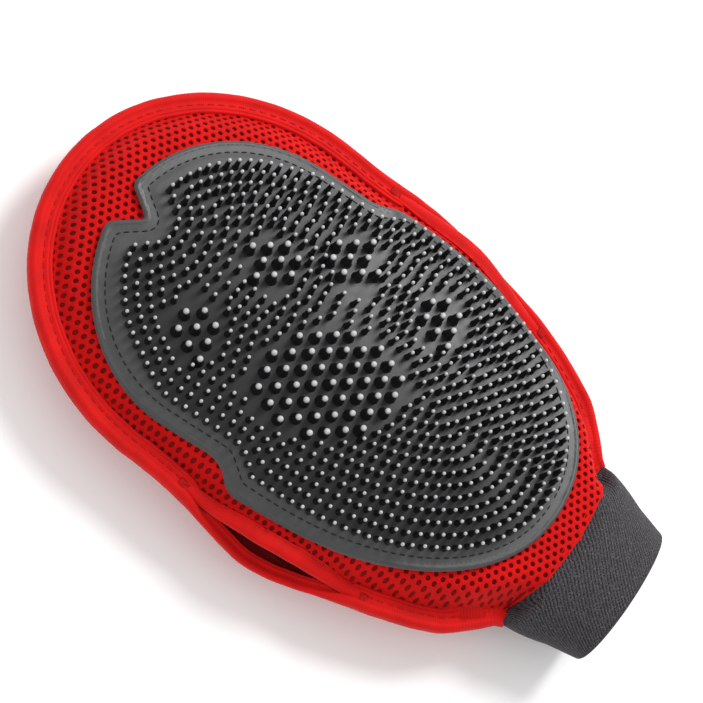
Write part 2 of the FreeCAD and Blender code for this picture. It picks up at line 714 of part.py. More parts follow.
add_shape("wrist_stitching", Part.makeCompound(wrist_sewing))

# Elastic cuff, a tapered tube
outer = cuff_shell("cuff_outside", 0)
inner = cuff_shell("cuff_inside", 1)
cuff = doc.addObject("Part::Cut", "cuff_elastic")
cuff.Label = "cuff_elastic"
cuff.Base = outer
cuff.Tool = inner


def cuff_bottom(x, y):
    along = -y / size["cuff_length"]
    top = size["palm_rise"] + size["mesh_thickness"] + HALF_SEAM
    bottom = size["wrist_drop"] + size["back_thickness"]
    high = (top + bottom) / 2
    high += (size["cuff_end_half_height"] - high) * along
    return (top - bottom) / 2 - high


cuff_steps = int(size["cuff_length"] / ALONG_EDGE)
cuff_run = [Vector(0, -ALONG_EDGE * k, 0) for k in range(2, cuff_steps - 1)]
add_shape("cuff_seam_stitching", Part.makeCompound(stitches(cuff_run, cuff_bottom, -1)))

doc.recompute()

PREFIXES = (
    "palm_mesh", "back_panel", "brush_pad", "edge_", "side_", "slot_",
    "pad_stitching", "bar_tack", "wrist_stitching", "cuff_elastic", "cuff_seam",
)
os.makedirs("parts", exist_ok=True)
for item in doc.Objects:
    if "Invalid" in item.State or "Error" in item.State:
        raise RuntimeError(f"{item.Label} did not build: {item.State}")
written = 0
for item in doc.Objects:
    kept = item.TypeId in ("Part::Feature", "PartDesign::Body", "Part::Cut")
    if not kept or not item.Label.startswith(PREFIXES):
        continue
    shape = item.Shape
    if shape.isNull() or not shape.isValid():
        raise RuntimeError(f"{item.Label} has no valid shape")
    shape.exportStep(f"parts/{item.Label}.step")
    box = shape.BoundBox
    print(f"{item.Label:28s} solids {len(shape.Solids):3d} volume {shape.Volume:9.1f}", end="")
    print(f" x {box.XMin:7.2f} {box.XMax:7.2f} y {box.YMin:7.2f} {box.YMax:7.2f}", end="")
    print(f" z {box.ZMin:6.2f} {box.ZMax:6.2f}")
    written += 1
print("sub-parts written", written)
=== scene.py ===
# %% [markdown]
# # A pet grooming mitt
# The mitt is a flat bag of two red panels, sewn together round the edge and filled out as on
# a hand. A moulded rubber brush pad is sewn on the palm, the two sides have slots for the
# thumb, and an elastic cuff closes the wrist. The CAD model is loaded first and never moved.
# Each soft piece is then built in its place from the same few sizes.

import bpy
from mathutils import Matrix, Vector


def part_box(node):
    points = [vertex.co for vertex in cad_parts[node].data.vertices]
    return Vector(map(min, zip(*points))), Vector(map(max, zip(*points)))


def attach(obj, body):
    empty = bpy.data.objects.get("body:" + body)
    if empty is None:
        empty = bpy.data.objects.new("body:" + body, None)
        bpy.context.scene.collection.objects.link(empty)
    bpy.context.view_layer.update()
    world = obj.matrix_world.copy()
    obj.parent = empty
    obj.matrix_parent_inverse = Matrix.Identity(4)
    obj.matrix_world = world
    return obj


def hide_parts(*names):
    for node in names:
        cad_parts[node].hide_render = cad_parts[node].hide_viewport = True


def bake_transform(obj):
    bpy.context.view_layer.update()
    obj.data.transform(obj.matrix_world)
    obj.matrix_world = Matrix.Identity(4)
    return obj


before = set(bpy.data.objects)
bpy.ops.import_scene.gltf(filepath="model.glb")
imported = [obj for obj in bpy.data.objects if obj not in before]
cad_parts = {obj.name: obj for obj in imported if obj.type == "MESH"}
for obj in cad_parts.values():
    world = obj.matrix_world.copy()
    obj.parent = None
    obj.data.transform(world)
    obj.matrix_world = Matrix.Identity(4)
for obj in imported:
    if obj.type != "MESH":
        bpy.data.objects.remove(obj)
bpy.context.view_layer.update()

# %% Tools
import math
import random

import bmesh
import bpy
from mathutils import Matrix, Vector, noise

MM = 0.001
UP = Vector((0, 0, 1))

# %% [markdown]
# ## The mitt's main places
# Blender's soft pieces have to sit where the CAD solids are, so the main places are read from
# their boxes: the wrist seam, the fingertips, the plane of the side seam and the line that the
# fingers bend about. The remaining sizes are those that a pattern cutter would note down.

# %% Main places, in metres
WRIST_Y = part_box("palm_mesh_heel")[0].y
TIP_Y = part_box("edge_binding")[1].y
SEAM_Z = (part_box("edge_binding")[0].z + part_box("edge_binding")[1].z) / 2
FLEX_Y = (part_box("palm_mesh_heel")[1].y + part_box("palm_mesh_fingers")[0].y) / 2
SLOT_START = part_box("slot_binding_left_palm")[0].y
SLOT_END = FLEX_Y - 2 * MM
FINGER_HALF = 69 * MM
TIP_LENGTH = 74 * MM
TIP_CENTRE = TIP_Y - TIP_LENGTH
WRIST_HALF = 41 * MM
SHOULDER = 85 * MM
WIDENING_POWER = 0.75
BULGE = 3.5 * MM
BULGE_Y = WRIST_Y + 84 * MM
BULGE_REACH = 40 * MM
WRIST_NIP = 4 * MM
NIP_LENGTH = 16 * MM
TAPE_WIDTH = 8 * MM
SLOT_TAPE_WIDTH = 6.7 * MM
SLOT_GAPE = 10 * MM
SLOT_PULL = 5.2 * MM
LIFT_START = 0.88
HALF_SEAM = 0.3 * MM
PALM_RISE = 16 * MM
PALM_CURVE = 2.2
DROOP_LINE = 52 * MM
EDGE_DROOP = 30.0
FINGER_SLOPE = 0.09
BACK_DROP = 19 * MM
BACK_FLAT = 18.14 * MM
WRIST_DROP = 15 * MM
DROP_LENGTH = 40 * MM
BACK_CURVE = 1.5
FALL_POWER = 12
WRIST_FALL_POWER = 4
PANEL = 1.6 * MM
PAD_THICK = 1.8 * MM
SEAT = 0.3 * MM
print("wrist", round(WRIST_Y, 4), "fingertips", round(TIP_Y, 4), "bending line", round(FLEX_Y, 4))

# %% [markdown]
# ## The outline and the two surfaces
# A worn mitt is two arched surfaces that meet at the taped edge. Sculpting them by hand would
# never match the CAD, so each is a height function of the place on the outline. Every piece
# of cloth, tape and thread below is laid on these functions, and so they all stay together.


# %% Outline and heights
def smooth_step(share):
    share = min(max(share, 0.0), 1.0)
    return share * share * (3 - 2 * share)


def level_off(share):
    """A softer S from 0 to 1, without curvature at its ends."""
    return share ** 3 * (share * (6 * share - 15) + 10)


def half_width(y):
    """Centre line to the mitt's outer edge."""
    if y > TIP_CENTRE:
        along = min((y - TIP_CENTRE) / TIP_LENGTH, 1.0)
        return FINGER_HALF * math.sqrt(1 - along * along)
    turn = math.pi / 2 * min(max((y - WRIST_Y) / SHOULDER, 0.0), 1.0)
    width = WRIST_HALF + (FINGER_HALF - WRIST_HALF) * math.sin(turn) ** WIDENING_POWER
    from_bulge = abs(y - BULGE_Y) / BULGE_REACH
    if from_bulge < 1:
        width += BULGE * math.cos(math.pi / 2 * from_bulge) ** 2
    return width - WRIST_NIP * (1 - smooth_step((y - WRIST_Y) / NIP_LENGTH))


def seam_level(x, y):
    """0 on the centre line, 1 at the tape's inner edge."""
    if y > TIP_CENTRE:
        across = x / (FINGER_HALF - TAPE_WIDTH)
        return math.hypot(across, (y - TIP_CENTRE) / (TIP_LENGTH - TAPE_WIDTH))
    return abs(x) / (half_width(y) - TAPE_WIDTH)


def fall(x, y):
    """1 over the hand, 0 at the tape."""
    share = smooth_step((y - WRIST_Y) / DROP_LENGTH)
    power = WRIST_FALL_POWER + (FALL_POWER - WRIST_FALL_POWER) * share
    return 1 - level_off(min(seam_level(x, y), 1.0) ** power)


def slot_open(y):
    """How far a thumb slot's edge stands off the seam's plane."""
    along = (y - SLOT_START) / (SLOT_END - SLOT_START)
    if not 0 < along < 1:
        return 0.0
    return SLOT_GAPE / 2 * math.sin(math.pi * along) ** 2


def slot_pull(y):
    """How far the thumb draws in the palm's edge of a slot."""
    along = min(max((y - SLOT_START) / (SLOT_END - SLOT_START), 0.0), 1.0)
    return SLOT_PULL * math.sin(math.pi * along) ** 0.9


def slot_lift(x, y):
    return slot_open(y) * smooth_step((seam_level(x, y) - LIFT_START) / (1 - LIFT_START))


def palm_height(x, y):
    """Inside of the palm."""
    droop = max(abs(x) - DROOP_LINE, 0.0)
    arch = PALM_RISE - PALM_CURVE * x * x - EDGE_DROOP * droop * droop
    arch -= FINGER_SLOPE * max(y - FLEX_Y, 0.0)
    return SEAM_Z + HALF_SEAM + max(arch, 0.0) * fall(x, y) + slot_lift(x, y)


def back_height(x, y):
    """Inside of the back."""
    depth = WRIST_DROP + (BACK_DROP - WRIST_DROP) * smooth_step((y - WRIST_Y) / DROP_LENGTH)
    depth -= BACK_CURVE * x * x + FINGER_SLOPE * max(y - FLEX_Y, 0.0)
    depth = max(min(depth, BACK_FLAT), 0.0)
    return SEAM_Z - HALF_SEAM - (depth - HALF_SEAM) * fall(x, y) - slot_lift(x, y)


print("widest", round(2 * half_width(BULGE_Y), 4), "palm top", round(palm_height(0, 0), 4))

# %% [markdown]
# ## Helpers for cloth and tape
# Cloth and tape are long regular sheets. The editor's way is to add a grid and bend it, and
# `create_grid` does the same here: each vertex keeps its place in the grid as a share from 0
# to 1, and a `place` function says where that share lies on the mitt. Doubles are merged so
# that a tube closes, and normals are worked out again before any wall gets its thickness.


# %% From bmesh to a shown piece
def finish_piece(bm, name, finish, sharp=40):
    """Turns a bmesh into an object at the origin, with smooth shading up to an angle."""
    mesh = bpy.data.meshes.new(name)
    bm.to_mesh(mesh)
    bm.free()
    mesh.shade_smooth()
    mesh.set_sharp_from_angle(angle=math.radians(sharp))
    piece = bpy.data.objects.new(name, mesh)
    bpy.context.scene.collection.objects.link(piece)
    mesh.materials.append(finish)
    mesh.calc_loop_triangles()
    print(name, len(mesh.vertices), "vertices", len(mesh.loop_triangles), "triangles")
    return piece


def bent_grid(columns, rows, place, spans):
    """A grid bent by place(u, v), with a UV map that runs over the two spans in metres."""
    bm = bmesh.new()
    cloth = bm.loops.layers.uv.new("cloth")
    bmesh.ops.create_grid(bm, x_segments=columns, y_segments=rows, size=0.5)
    for face in bm.faces:
        for loop in face.loops:
            share = loop.vert.co
            loop[cloth].uv = ((share.x + 0.5) * spans[0], (share.y + 0.5) * spans[1])
    for vert in bm.verts:
        vert.co = place(vert.co.x + 0.5, vert.co.y + 0.5)
    bmesh.ops.remove_doubles(bm, verts=bm.verts[:], dist=0.001 * MM)
    ends = [edge for edge in bm.edges if edge.is_boundary]
    if ends:
        bmesh.ops.holes_fill(bm, edges=ends, sides=0)
    bmesh.ops.recalc_face_normals(bm, faces=bm.faces[:])
    return bm


# %% [markdown]
# ## Procedural finishes
# A finish is a small node tree. `Object` coordinates give grain that is fixed to the piece,
# and the `cloth` UV map gives ribs that follow a tape or the cuff. Values that are the same
# all over, such as sheen, are typed into the shader's own socket.


# %% Node helpers
def new_finish(name, roughness, sheen=0.0, specular=0.5):
    finish = bpy.data.materials.new(name)
    finish.use_nodes = True
    shader = finish.node_tree.nodes["Principled BSDF"]
    shader.inputs["Roughness"].default_value = roughness
    shader.inputs["Sheen Weight"].default_value = sheen
    shader.inputs["Specular IOR Level"].default_value = specular
    return finish, shader


def add_node(finish, kind, settings=None, **sockets):
    """Adds a node, sets its properties, and fills or links its sockets by name."""
    node = finish.node_tree.nodes.new("ShaderNode" + kind)
    for key, value in (settings or {}).items():
        setattr(node, key, value)
    for key, value in sockets.items():
        socket = node.inputs[key.replace("_", " ")]
        if isinstance(value, bpy.types.NodeSocket):
            finish.node_tree.links.new(value, socket)
        else:
            socket.default_value = value
    return node


def link(finish, output, socket):
    finish.node_tree.links.new(output, socket)


def ramp(finish, factor, stops):
    """A colour ramp from a list of (place, colour)."""
    node = add_node(finish, "ValToRGB", Fac=factor)
    band = node.color_ramp
    while len(band.elements) < len(stops):
        band.elements.new(0.5)
    for element, (place, colour) in zip(band.elements, stops):
        element.position = place
        element.color = (*colour, 1)
    return node.outputs["Color"]


def math_node(finish, operation, first, second):
    node = finish.node_tree.nodes.new("ShaderNodeMath")
    node.operation = operation
    for socket, value in zip(node.inputs, (first, second)):
        if isinstance(value, bpy.types.NodeSocket):
            link(finish, value, socket)
        else:
            socket.default_value = value
    return node.outputs["Value"]


def weigh(finish, first, share, second):
    """The sum of share of the first value and the rest of the second."""
    mixed = math_node(finish, "MULTIPLY_ADD", first, share)
    link(finish, math_node(finish, "MULTIPLY", second, 1 - share), mixed.node.inputs[2])
    return mixed


def bump(finish, shader, height, strength, depth):
    node = add_node(finish, "Bump", Height=height, Strength=strength, Distance=depth)
    link(finish, node.outputs["Normal"], shader.inputs["Normal"])


def coordinates(finish, kind):
    return add_node(finish, "TexCoord").outputs[kind]


def grain(finish, scale, detail=4.0, kind="Object"):
    place = coordinates(finish, kind)
    return add_node(finish, "TexNoise", Vector=place, Scale=scale, Detail=detail).outputs["Fac"]


# %% Red cloths
BRIGHT_RED = (0.60, 0.003, 0.002)
RED = (0.40, 0.001, 0.001)
DEEP_RED = (0.24, 0.001, 0.001)
# Painted shade red, for the backing seen in the holes and for the inside of the back.
SHADE_RED = (0.13, 0.001, 0.001)


def red_knit(name, dark, light, fibre_scale):
    """Brushed polyester yarn: slow patches of tone, with fine fibres on top."""
    finish, shader = new_finish(name, roughness=0.8, sheen=0.03, specular=0.12)
    patches = grain(finish, 60.0, detail=2.0)
    fibres = grain(finish, fibre_scale, detail=5.0)
    mixed = weigh(finish, fibres, 0.6, patches)
    link(finish, ramp(finish, mixed, [(0.3, dark), (0.7, light)]), shader.inputs["Base Color"])
    bump(finish, shader, fibres, 0.5, 0.12 * MM)
    return finish


knit_face = red_knit("air_mesh_yarn", RED, BRIGHT_RED, 1500.0)
# The backing's reds are painted darker, as the shade deep in the air mesh's holes.
shaded_spacer_cloth = red_knit("shaded_spacer_cloth", SHADE_RED, DEEP_RED, 2200.0)


def tape_weave(name):
    """Woven edge tape: fine ribs across it, over patches of tone."""
    finish, shader = new_finish(name, roughness=0.7, sheen=0.04, specular=0.15)
    place = coordinates(finish, "UV")
    ribs = add_node(finish, "TexWave", {"bands_direction": "Y"}, Vector=place, Scale=380.0,
                    Distortion=1.2, Detail=2.0, Detail_Scale=3.0).outputs["Fac"]
    patches = grain(finish, 90.0, detail=3.0)
    mixed = weigh(finish, ribs, 0.25, patches)
    colour = ramp(finish, mixed, [(0.2, RED), (0.65, BRIGHT_RED)])
    link(finish, colour, shader.inputs["Base Color"])
    bump(finish, shader, mixed, 0.45, 0.12 * MM)
    return finish


tape_red = tape_weave("edge_tape_weave")


def back_knit(name):
    """Closed knit with rows of small dimples outside, their centres painted darker as shade in the
    dimples, and plain inside, painted darker as the shade inside the bag.
    """
    finish, shader = new_finish(name, roughness=0.8, sheen=0.04, specular=0.15)
    place = coordinates(finish, "Object")
    cells = add_node(finish, "TexVoronoi", {"voronoi_dimensions": "2D", "feature": "F1"},
                     Vector=place, Scale=480.0, Randomness=0.12).outputs["Distance"]
    fibres = grain(finish, 1800.0, detail=4.0)
    # Painted shade: the dimples' centres are darker than the cloth between them.
    outside = ramp(finish, cells, [(0.08, DEEP_RED), (0.32, RED), (0.7, BRIGHT_RED)])
    # Painted shade: faces that look up are the inside of the back, painted darker as the shade inside the
    # bag.
    upward = add_node(finish, "SeparateXYZ", Vector=coordinates(finish, "Normal")).outputs["Z"]
    shaded_inside = math_node(finish, "GREATER_THAN", upward, 0.1)
    colour = add_node(finish, "MixRGB", Fac=shaded_inside, Color1=outside, Color2=(*SHADE_RED, 1))
    link(finish, colour.outputs["Color"], shader.inputs["Base Color"])
    height = math_node(finish, "MULTIPLY_ADD", fibres, 0.25)
    link(finish, math_node(finish, "MINIMUM", cells, 0.45), height.node.inputs[2])
    bump(finish, shader, height, 0.8, 0.4 * MM)
    return finish


back_cloth = back_knit("back_fabric_knit")
print("red cloths", knit_face.name, shaded_spacer_cloth.name, tape_red.name, back_cloth.name)

# %% [markdown]
# ## Rubber, elastic and thread
# The rubber's border keeps the rubber's own dull grey, the bed between the nubs is painted
# darker as shade among the nubs, the nub shafts are painted near black as shade, and the
# tips are painted pale as highlights. Two point attributes carry that painted light:
# `nub_height` runs from 0 at the sheet to 1 at a tip, and `bed` is 1 where the nubs stand.
# The cuff is knitted elastic: slanting ribs of dark grey yarn with paler flecks.

# %% Rubber, elastic and thread
BORDER_GREY = (0.047, 0.048, 0.049)
# Painted shade: the bed's grey is darker than the border's, as shade among the nubs.
BED_SHADE_GREY = (0.012, 0.012, 0.013)
# Painted shade: the nub shafts are near black.
SHAFT_SHADE_GREY = (0.008, 0.008, 0.009)
# Painted highlight: the nub tips are pale.
TIP_HIGHLIGHT_GREY = (0.42, 0.43, 0.44)


def rubber(name):
    finish, shader = new_finish(name, roughness=0.42, specular=0.4)
    bed = add_node(finish, "Attribute", {"attribute_name": "bed"}).outputs["Fac"]
    nub = add_node(finish, "Attribute", {"attribute_name": "nub_height"}).outputs["Fac"]
    dust = grain(finish, 220.0, detail=6.0)
    # Painted shade: the sheet goes from the border's grey to the darker bed.
    sheet_colour = ramp(finish, bed, [(0.0, BORDER_GREY), (1.0, BED_SHADE_GREY)])
    # Painted shade along the nub shafts, then painted highlight at their tips.
    along_nub = [(0.0, BED_SHADE_GREY), (0.12, SHAFT_SHADE_GREY), (0.80, SHAFT_SHADE_GREY), (0.93, TIP_HIGHLIGHT_GREY)]
    nub_colour = ramp(finish, nub, along_nub)
    on_nub = math_node(finish, "GREATER_THAN", nub, 0.04)
    colour = add_node(finish, "MixRGB", Fac=on_nub, Color1=sheet_colour, Color2=nub_colour)
    clean = colour.outputs["Color"]
    # Dust laid over the painted shade and painted highlights.
    dust_and_painted_light = add_node(finish, "MixRGB", {"blend_type": "OVERLAY"}, Fac=0.25, Color1=clean, Color2=dust)
    link(finish, dust_and_painted_light.outputs["Color"], shader.inputs["Base Color"])
    rough = add_node(finish, "MapRange", Value=dust, To_Min=0.34, To_Max=0.55).outputs["Result"]
    link(finish, rough, shader.inputs["Roughness"])
    fine = grain(finish, 1400.0, detail=3.0)
    bump(finish, shader, fine, 0.25, 0.08 * MM)
    return finish


brush_rubber = rubber("brush_rubber")


def elastic(name):
    finish, shader = new_finish(name, roughness=0.8, sheen=0.05, specular=0.2)
    place = coordinates(finish, "UV")
    slanted = add_node(finish, "Mapping", {"vector_type": "POINT"}, Vector=place)
    slanted.inputs["Rotation"].default_value = (0, 0, math.radians(34))
    ribs = add_node(finish, "TexWave", {"bands_direction": "X"}, Vector=slanted.outputs["Vector"],
                    Scale=270.0, Distortion=0.5, Detail=2.0, Detail_Scale=4.0).outputs["Fac"]
    courses = add_node(finish, "TexWave", {"bands_direction": "Y"}, Vector=place,
                       Scale=520.0, Distortion=0.4).outputs["Fac"]
    flecks = grain(finish, 2400.0, detail=2.0)
    woven = weigh(finish, ribs, 0.7, courses)
    base = ramp(finish, woven, [(0.25, (0.007, 0.006, 0.008)), (0.75, (0.046, 0.042, 0.046))])
    pale = ramp(finish, flecks, [(0.5, (0, 0, 0)), (0.68, (0.7, 0.7, 0.7))])
    mixed = add_node(finish, "MixRGB", Fac=pale, Color1=base, Color2=(0.13, 0.125, 0.132, 1))
    link(finish, mixed.outputs["Color"], shader.inputs["Base Color"])
    bump(finish, shader, woven, 0.7, 0.35 * MM)
    return finish


cuff_knit = elastic("cuff_knit")


def spun_thread(name, dark, light):
    finish, shader = new_finish(name, roughness=0.65, specular=0.2)
    twist = grain(finish, 3000.0, detail=2.0)
    link(finish, ramp(finish, twist, [(0.35, dark), (0.65, light)]), shader.inputs["Base Color"])
    bump(finish, shader, twist, 0.5, 0.08 * MM)
    return finish


black_thread = spun_thread("black_thread_twist", (0.006, 0.006, 0.007), (0.022, 0.022, 0.024))
red_thread = spun_thread("red_thread_twist", DEEP_RED, BRIGHT_RED)
print("finishes", len(bpy.data.materials))

# %% [markdown]
# ## The two cloth panels
# Each panel is cut flat, to the outline less the fold of the tape, and then takes the shape of
# the hand. The flat cut is one filled `create_circle` whose corners are moved to the outline.
# `bisect_plane` then slices it both ways, which gives evenly spaced points to bend with
# and keeps the true edge, and `solidify` gives the cloth its thickness.

# %% Flat cut and bend
TAPE_FOLD = 1.2 * MM
PANEL_STEP = 3 * MM
LAP = 4.5 * MM
FLAT_EDGE_STEPS = 60
TIP_STEPS = 72
WRIST_STEPS = 24


def wrist_edge(x):
    """The panels lap over the cuff, most in the middle."""
    reach = WRIST_HALF - TAPE_WIDTH
    return WRIST_Y - LAP * max(1 - (x / reach) ** 2, 0.0)


def panel_outline(inset, pull):
    """The right-hand side, the finger end, the left-hand side and the wrist edge."""
    ys = [WRIST_Y + (TIP_CENTRE - WRIST_Y) * k / FLAT_EDGE_STEPS for k in range(FLAT_EDGE_STEPS)]
    right = [Vector((half_width(y) - inset - pull * slot_pull(y), y, 0)) for y in ys]
    tip = []
    for k in range(TIP_STEPS + 1):
        turn = math.pi * k / TIP_STEPS
        x = (FINGER_HALF - inset) * math.cos(turn)
        tip.append(Vector((x, TIP_CENTRE + (TIP_LENGTH - inset) * math.sin(turn), 0)))
    left = [Vector((-p.x, p.y, 0)) for p in reversed(right)]
    half = WRIST_HALF - TAPE_WIDTH
    xs = [half * (2 * k / WRIST_STEPS - 1) for k in range(WRIST_STEPS + 1)]
    wrist = [Vector((x, wrist_edge(x), 0)) for x in xs]
    return right + tip + left + wrist


def flat_cut(outline, step):
    """The outline as one face, sliced both ways every step."""
    bm = bmesh.new()
    ring = bmesh.ops.create_circle(bm, cap_ends=True, radius=1.0, segments=len(outline))
    for vert, place in zip(ring["verts"], outline):
        vert.co = place
    slice_up(bm, step)
    return bm


def slice_up(bm, step):
    for axis in (0, 1):
        normal = Vector((1 - axis, axis, 0))
        low = min(v.co[axis] for v in bm.verts)
        high = max(v.co[axis] for v in bm.verts)
        for k in range(math.ceil(low / step), math.floor(high / step) + 1):
            everything = bm.verts[:] + bm.edges[:] + bm.faces[:]
            bmesh.ops.bisect_plane(bm, geom=everything, dist=0.01 * MM,
                                   plane_co=normal * step * k, plane_no=normal)


def lay_on(bm, height):
    """Moves each point up to a surface, keeping what it already has as height."""
    for vert in bm.verts:
        vert.co.z += height(vert.co.x, vert.co.y)


def thicken(bm, thickness):
    """Adds the second side: upwards for a positive thickness."""
    for face in bm.faces:
        face.normal_update()
        if face.normal.z < 0:
            face.normal_flip()
    bmesh.ops.solidify(bm, geom=bm.faces[:], thickness=-thickness)
    bmesh.ops.recalc_face_normals(bm, faces=bm.faces[:])


def panel_piece(name, height, thickness, finish, pull):
    bm = flat_cut(panel_outline(TAPE_FOLD, pull), PANEL_STEP)
    area = sum(face.calc_area() for face in bm.faces)
    lay_on(bm, height)
    thicken(bm, thickness)
    return finish_piece(bm, name, finish), area


# %% Backing cloth and back panel
BACKING = 0.8 * MM
palm_backing, panel_area = panel_piece("palm_backing", palm_height, BACKING, shaded_spacer_cloth, 1)
back_panel, panel_area = panel_piece("back_panel", back_height, -PANEL, back_cloth, 0)
print("flat area of a panel", round(panel_area, 5))

# %% [markdown]
# ## The air mesh's face
# Air mesh has a face of looped yarn with round holes, held off a closed backing. The holes are
# large enough to see, so they are real. A honeycomb of six-sided `create_circle` cells covers
# the part that shows, from under the pad to under the tape. `inset_individual` makes a hole
# in each cell, and cells that cross the wrist edge are cut back to it. Solidify and one
# Subdivision Surface round the bars between the holes into yarn.

# %% Where the mesh shows
PAD_WIDE_Y = WRIST_Y + 97 * MM
PAD_TURN = math.radians(3.6)
PAD_SHIFT = 0.7 * MM
PAD_SLOT_MARGIN = 12 * MM
PAD_WRIST_MARGIN = 6.5 * MM
PAD_SIDE_MARGIN = 15.5 * MM
PAD_TIP_MARGIN = 22.5 * MM
STEP_START = WRIST_Y + 103 * MM
STEP_END = WRIST_Y + 112 * MM
HEEL_ROUNDNESS = 2.15
NOTCH_HALF = 8 * MM
NOTCH_DEPTH = 10 * MM
STEP_START_ROUND = 3 * MM
STEP_END_ROUND = 4.5 * MM
LOBE_ROUND = 2.2 * MM
NOTCH_ROUND = 1.6 * MM
HEEL_STEPS = 40
LOBE_STEPS = 22


def pad_corners():
    """The pad's outline as (place, rounding): the right half from the wrist to the notch."""
    across = half_width(PAD_WIDE_Y) - PAD_SLOT_MARGIN
    along = PAD_WIDE_Y - WRIST_Y - PAD_WRIST_MARGIN
    half = []
    for k in range(HEEL_STEPS + 1):
        turn = math.pi / 2 * k / HEEL_STEPS
        x = across * math.sin(turn) ** (2 / HEEL_ROUNDNESS)
        half.append((Vector((x, PAD_WIDE_Y - along * math.cos(turn) ** (2 / HEEL_ROUNDNESS), 0)), 0.0))
    side = FINGER_HALF - PAD_SIDE_MARGIN
    half.append((Vector((across, STEP_START, 0)), STEP_START_ROUND))
    half.append((Vector((side, STEP_END, 0)), STEP_END_ROUND))
    reach = TIP_LENGTH - PAD_TIP_MARGIN
    last = math.acos(NOTCH_HALF / side)
    for k in range(LOBE_STEPS + 1):
        turn = last * k / LOBE_STEPS
        place = Vector((side * math.cos(turn), TIP_CENTRE + reach * math.sin(turn), 0))
        half.append((place, 0.0))
    lobe = half[-1][0]
    half[-1] = (lobe, LOBE_ROUND)
    apex = (Vector((0, lobe.y - NOTCH_DEPTH, 0)), NOTCH_ROUND)
    other = [(Vector((-p.x, p.y, 0)), rounding) for p, rounding in reversed(half[1:])]
    turned = Matrix.Translation((-PAD_SHIFT, PAD_WIDE_Y, 0)) @ Matrix.Rotation(PAD_TURN, 4, "Z")
    to_pivot = turned @ Matrix.Translation((0, -PAD_WIDE_Y, 0))
    return [(to_pivot @ place, rounding) for place, rounding in half + [apex] + other]


corners = pad_corners()


def edge_samples(spacing):
    """Evenly spaced points round the pad, for measuring how far in a place is."""
    points = []
    for k, (place, rounding) in enumerate(corners):
        after = corners[(k + 1) % len(corners)][0]
        count = max(1, round((after - place).length / spacing))
        points += [place.lerp(after, j / count) for j in range(count)]
    return points


pad_edge = edge_samples(0.8 * MM)


def inside_pad(x, y):
    """Whether a place is on the pad, by counting the edges to one side of it."""
    inside = False
    for k, (a, rounding) in enumerate(corners):
        b = corners[k - 1][0]
        if (a.y > y) != (b.y > y) and x < a.x + (y - a.y) * (b.x - a.x) / (b.y - a.y):
            inside = not inside
    return inside


def edge_distance(x, y):
    return math.sqrt(min((x - p.x) ** 2 + (y - p.y) ** 2 for p in pad_edge))


# %% Honeycomb of yarn
CELL = 2.9 * MM
HOLE = 1.35 * MM
UNDER_PAD = 4 * MM
UNDER_TAPE = 5 * MM


def mesh_shows(x, y):
    if y < wrist_edge(x) - 0.6 * CELL:
        return False
    if y > TIP_CENTRE:
        along = (y - TIP_CENTRE) / (TIP_LENGTH - UNDER_TAPE)
        if math.hypot(x / (FINGER_HALF - UNDER_TAPE), along) > 1:
            return False
    elif abs(x) > half_width(y) - UNDER_TAPE - slot_pull(y):
        return False
    return not inside_pad(x, y) or edge_distance(x, y) < UNDER_PAD


honeycomb = bmesh.new()
across_step = CELL * math.sqrt(3) / 2
columns = round(FINGER_HALF / across_step) + 1
rows = round((TIP_Y - WRIST_Y) / CELL) + 2
for i in range(-columns, columns + 1):
    for j in range(-2, rows):
        x = i * across_step
        y = WRIST_Y + (j + 0.5 * (i % 2)) * CELL
        if mesh_shows(x, y):
            spot = Matrix.Translation((x, y, 0)) @ Matrix.Rotation(math.pi / 6, 4, "Z")
            bmesh.ops.create_circle(honeycomb, cap_ends=True, radius=CELL / math.sqrt(3),
                                    segments=6, matrix=spot)
bmesh.ops.remove_doubles(honeycomb, verts=honeycomb.verts[:], dist=0.05 * MM)
for vert in honeycomb.verts:
    vert.co.y = max(vert.co.y, wrist_edge(vert.co.x))
bmesh.ops.dissolve_degenerate(honeycomb, edges=honeycomb.edges[:], dist=0.1 * MM)
cells = [face for face in honeycomb.faces if face.calc_area() > 0.3 * MM * MM]
bmesh.ops.inset_individual(honeycomb, faces=cells, thickness=(CELL - HOLE) / 2)
cells = [face for face in cells if face.calc_area() > 0.3 * MM * MM]
bmesh.ops.delete(honeycomb, geom=cells, context="FACES_ONLY")
lay_on(honeycomb, lambda x, y: palm_height(x, y) + BACKING + SEAT / 2)
for face in honeycomb.faces:
    face.normal_update()
    if face.normal.z < 0:
        face.normal_flip()
print("holes in the mesh", len(cells))
air_mesh = finish_piece(honeycomb, "palm_air_mesh", knit_face, sharp=180)
yarn = air_mesh.modifiers.new("yarn", "SOLIDIFY")
yarn.thickness = PANEL - BACKING
yarn.offset = 1
rounding = air_mesh.modifiers.new("rounding", "SUBSURF")
rounding.levels = 1
rounding.render_levels = 1

# %% [markdown]
# ## The rubber brush pad
# The pad is one moulding: a sheet with a raised lip, a groove for its stitching, and nubs.
# Its corners are rounded with a vertex `bevel`, the lip comes from three `inset_region`
# steps, and slicing gives it points to bend with. A nub is a profile spun round its axis.

# %% Pad sheet
PAD_STEP = 1.15 * MM
STITCH_IN = 4.3 * MM
BED_IN = 6.2 * MM
LIP = [(0.35 * MM, 0.1 * MM), (0.45 * MM, 0.32 * MM), (0.6 * MM, 0.28 * MM), (0.5 * MM, 0.0)]
EDGE_FALL = 0.45 * MM

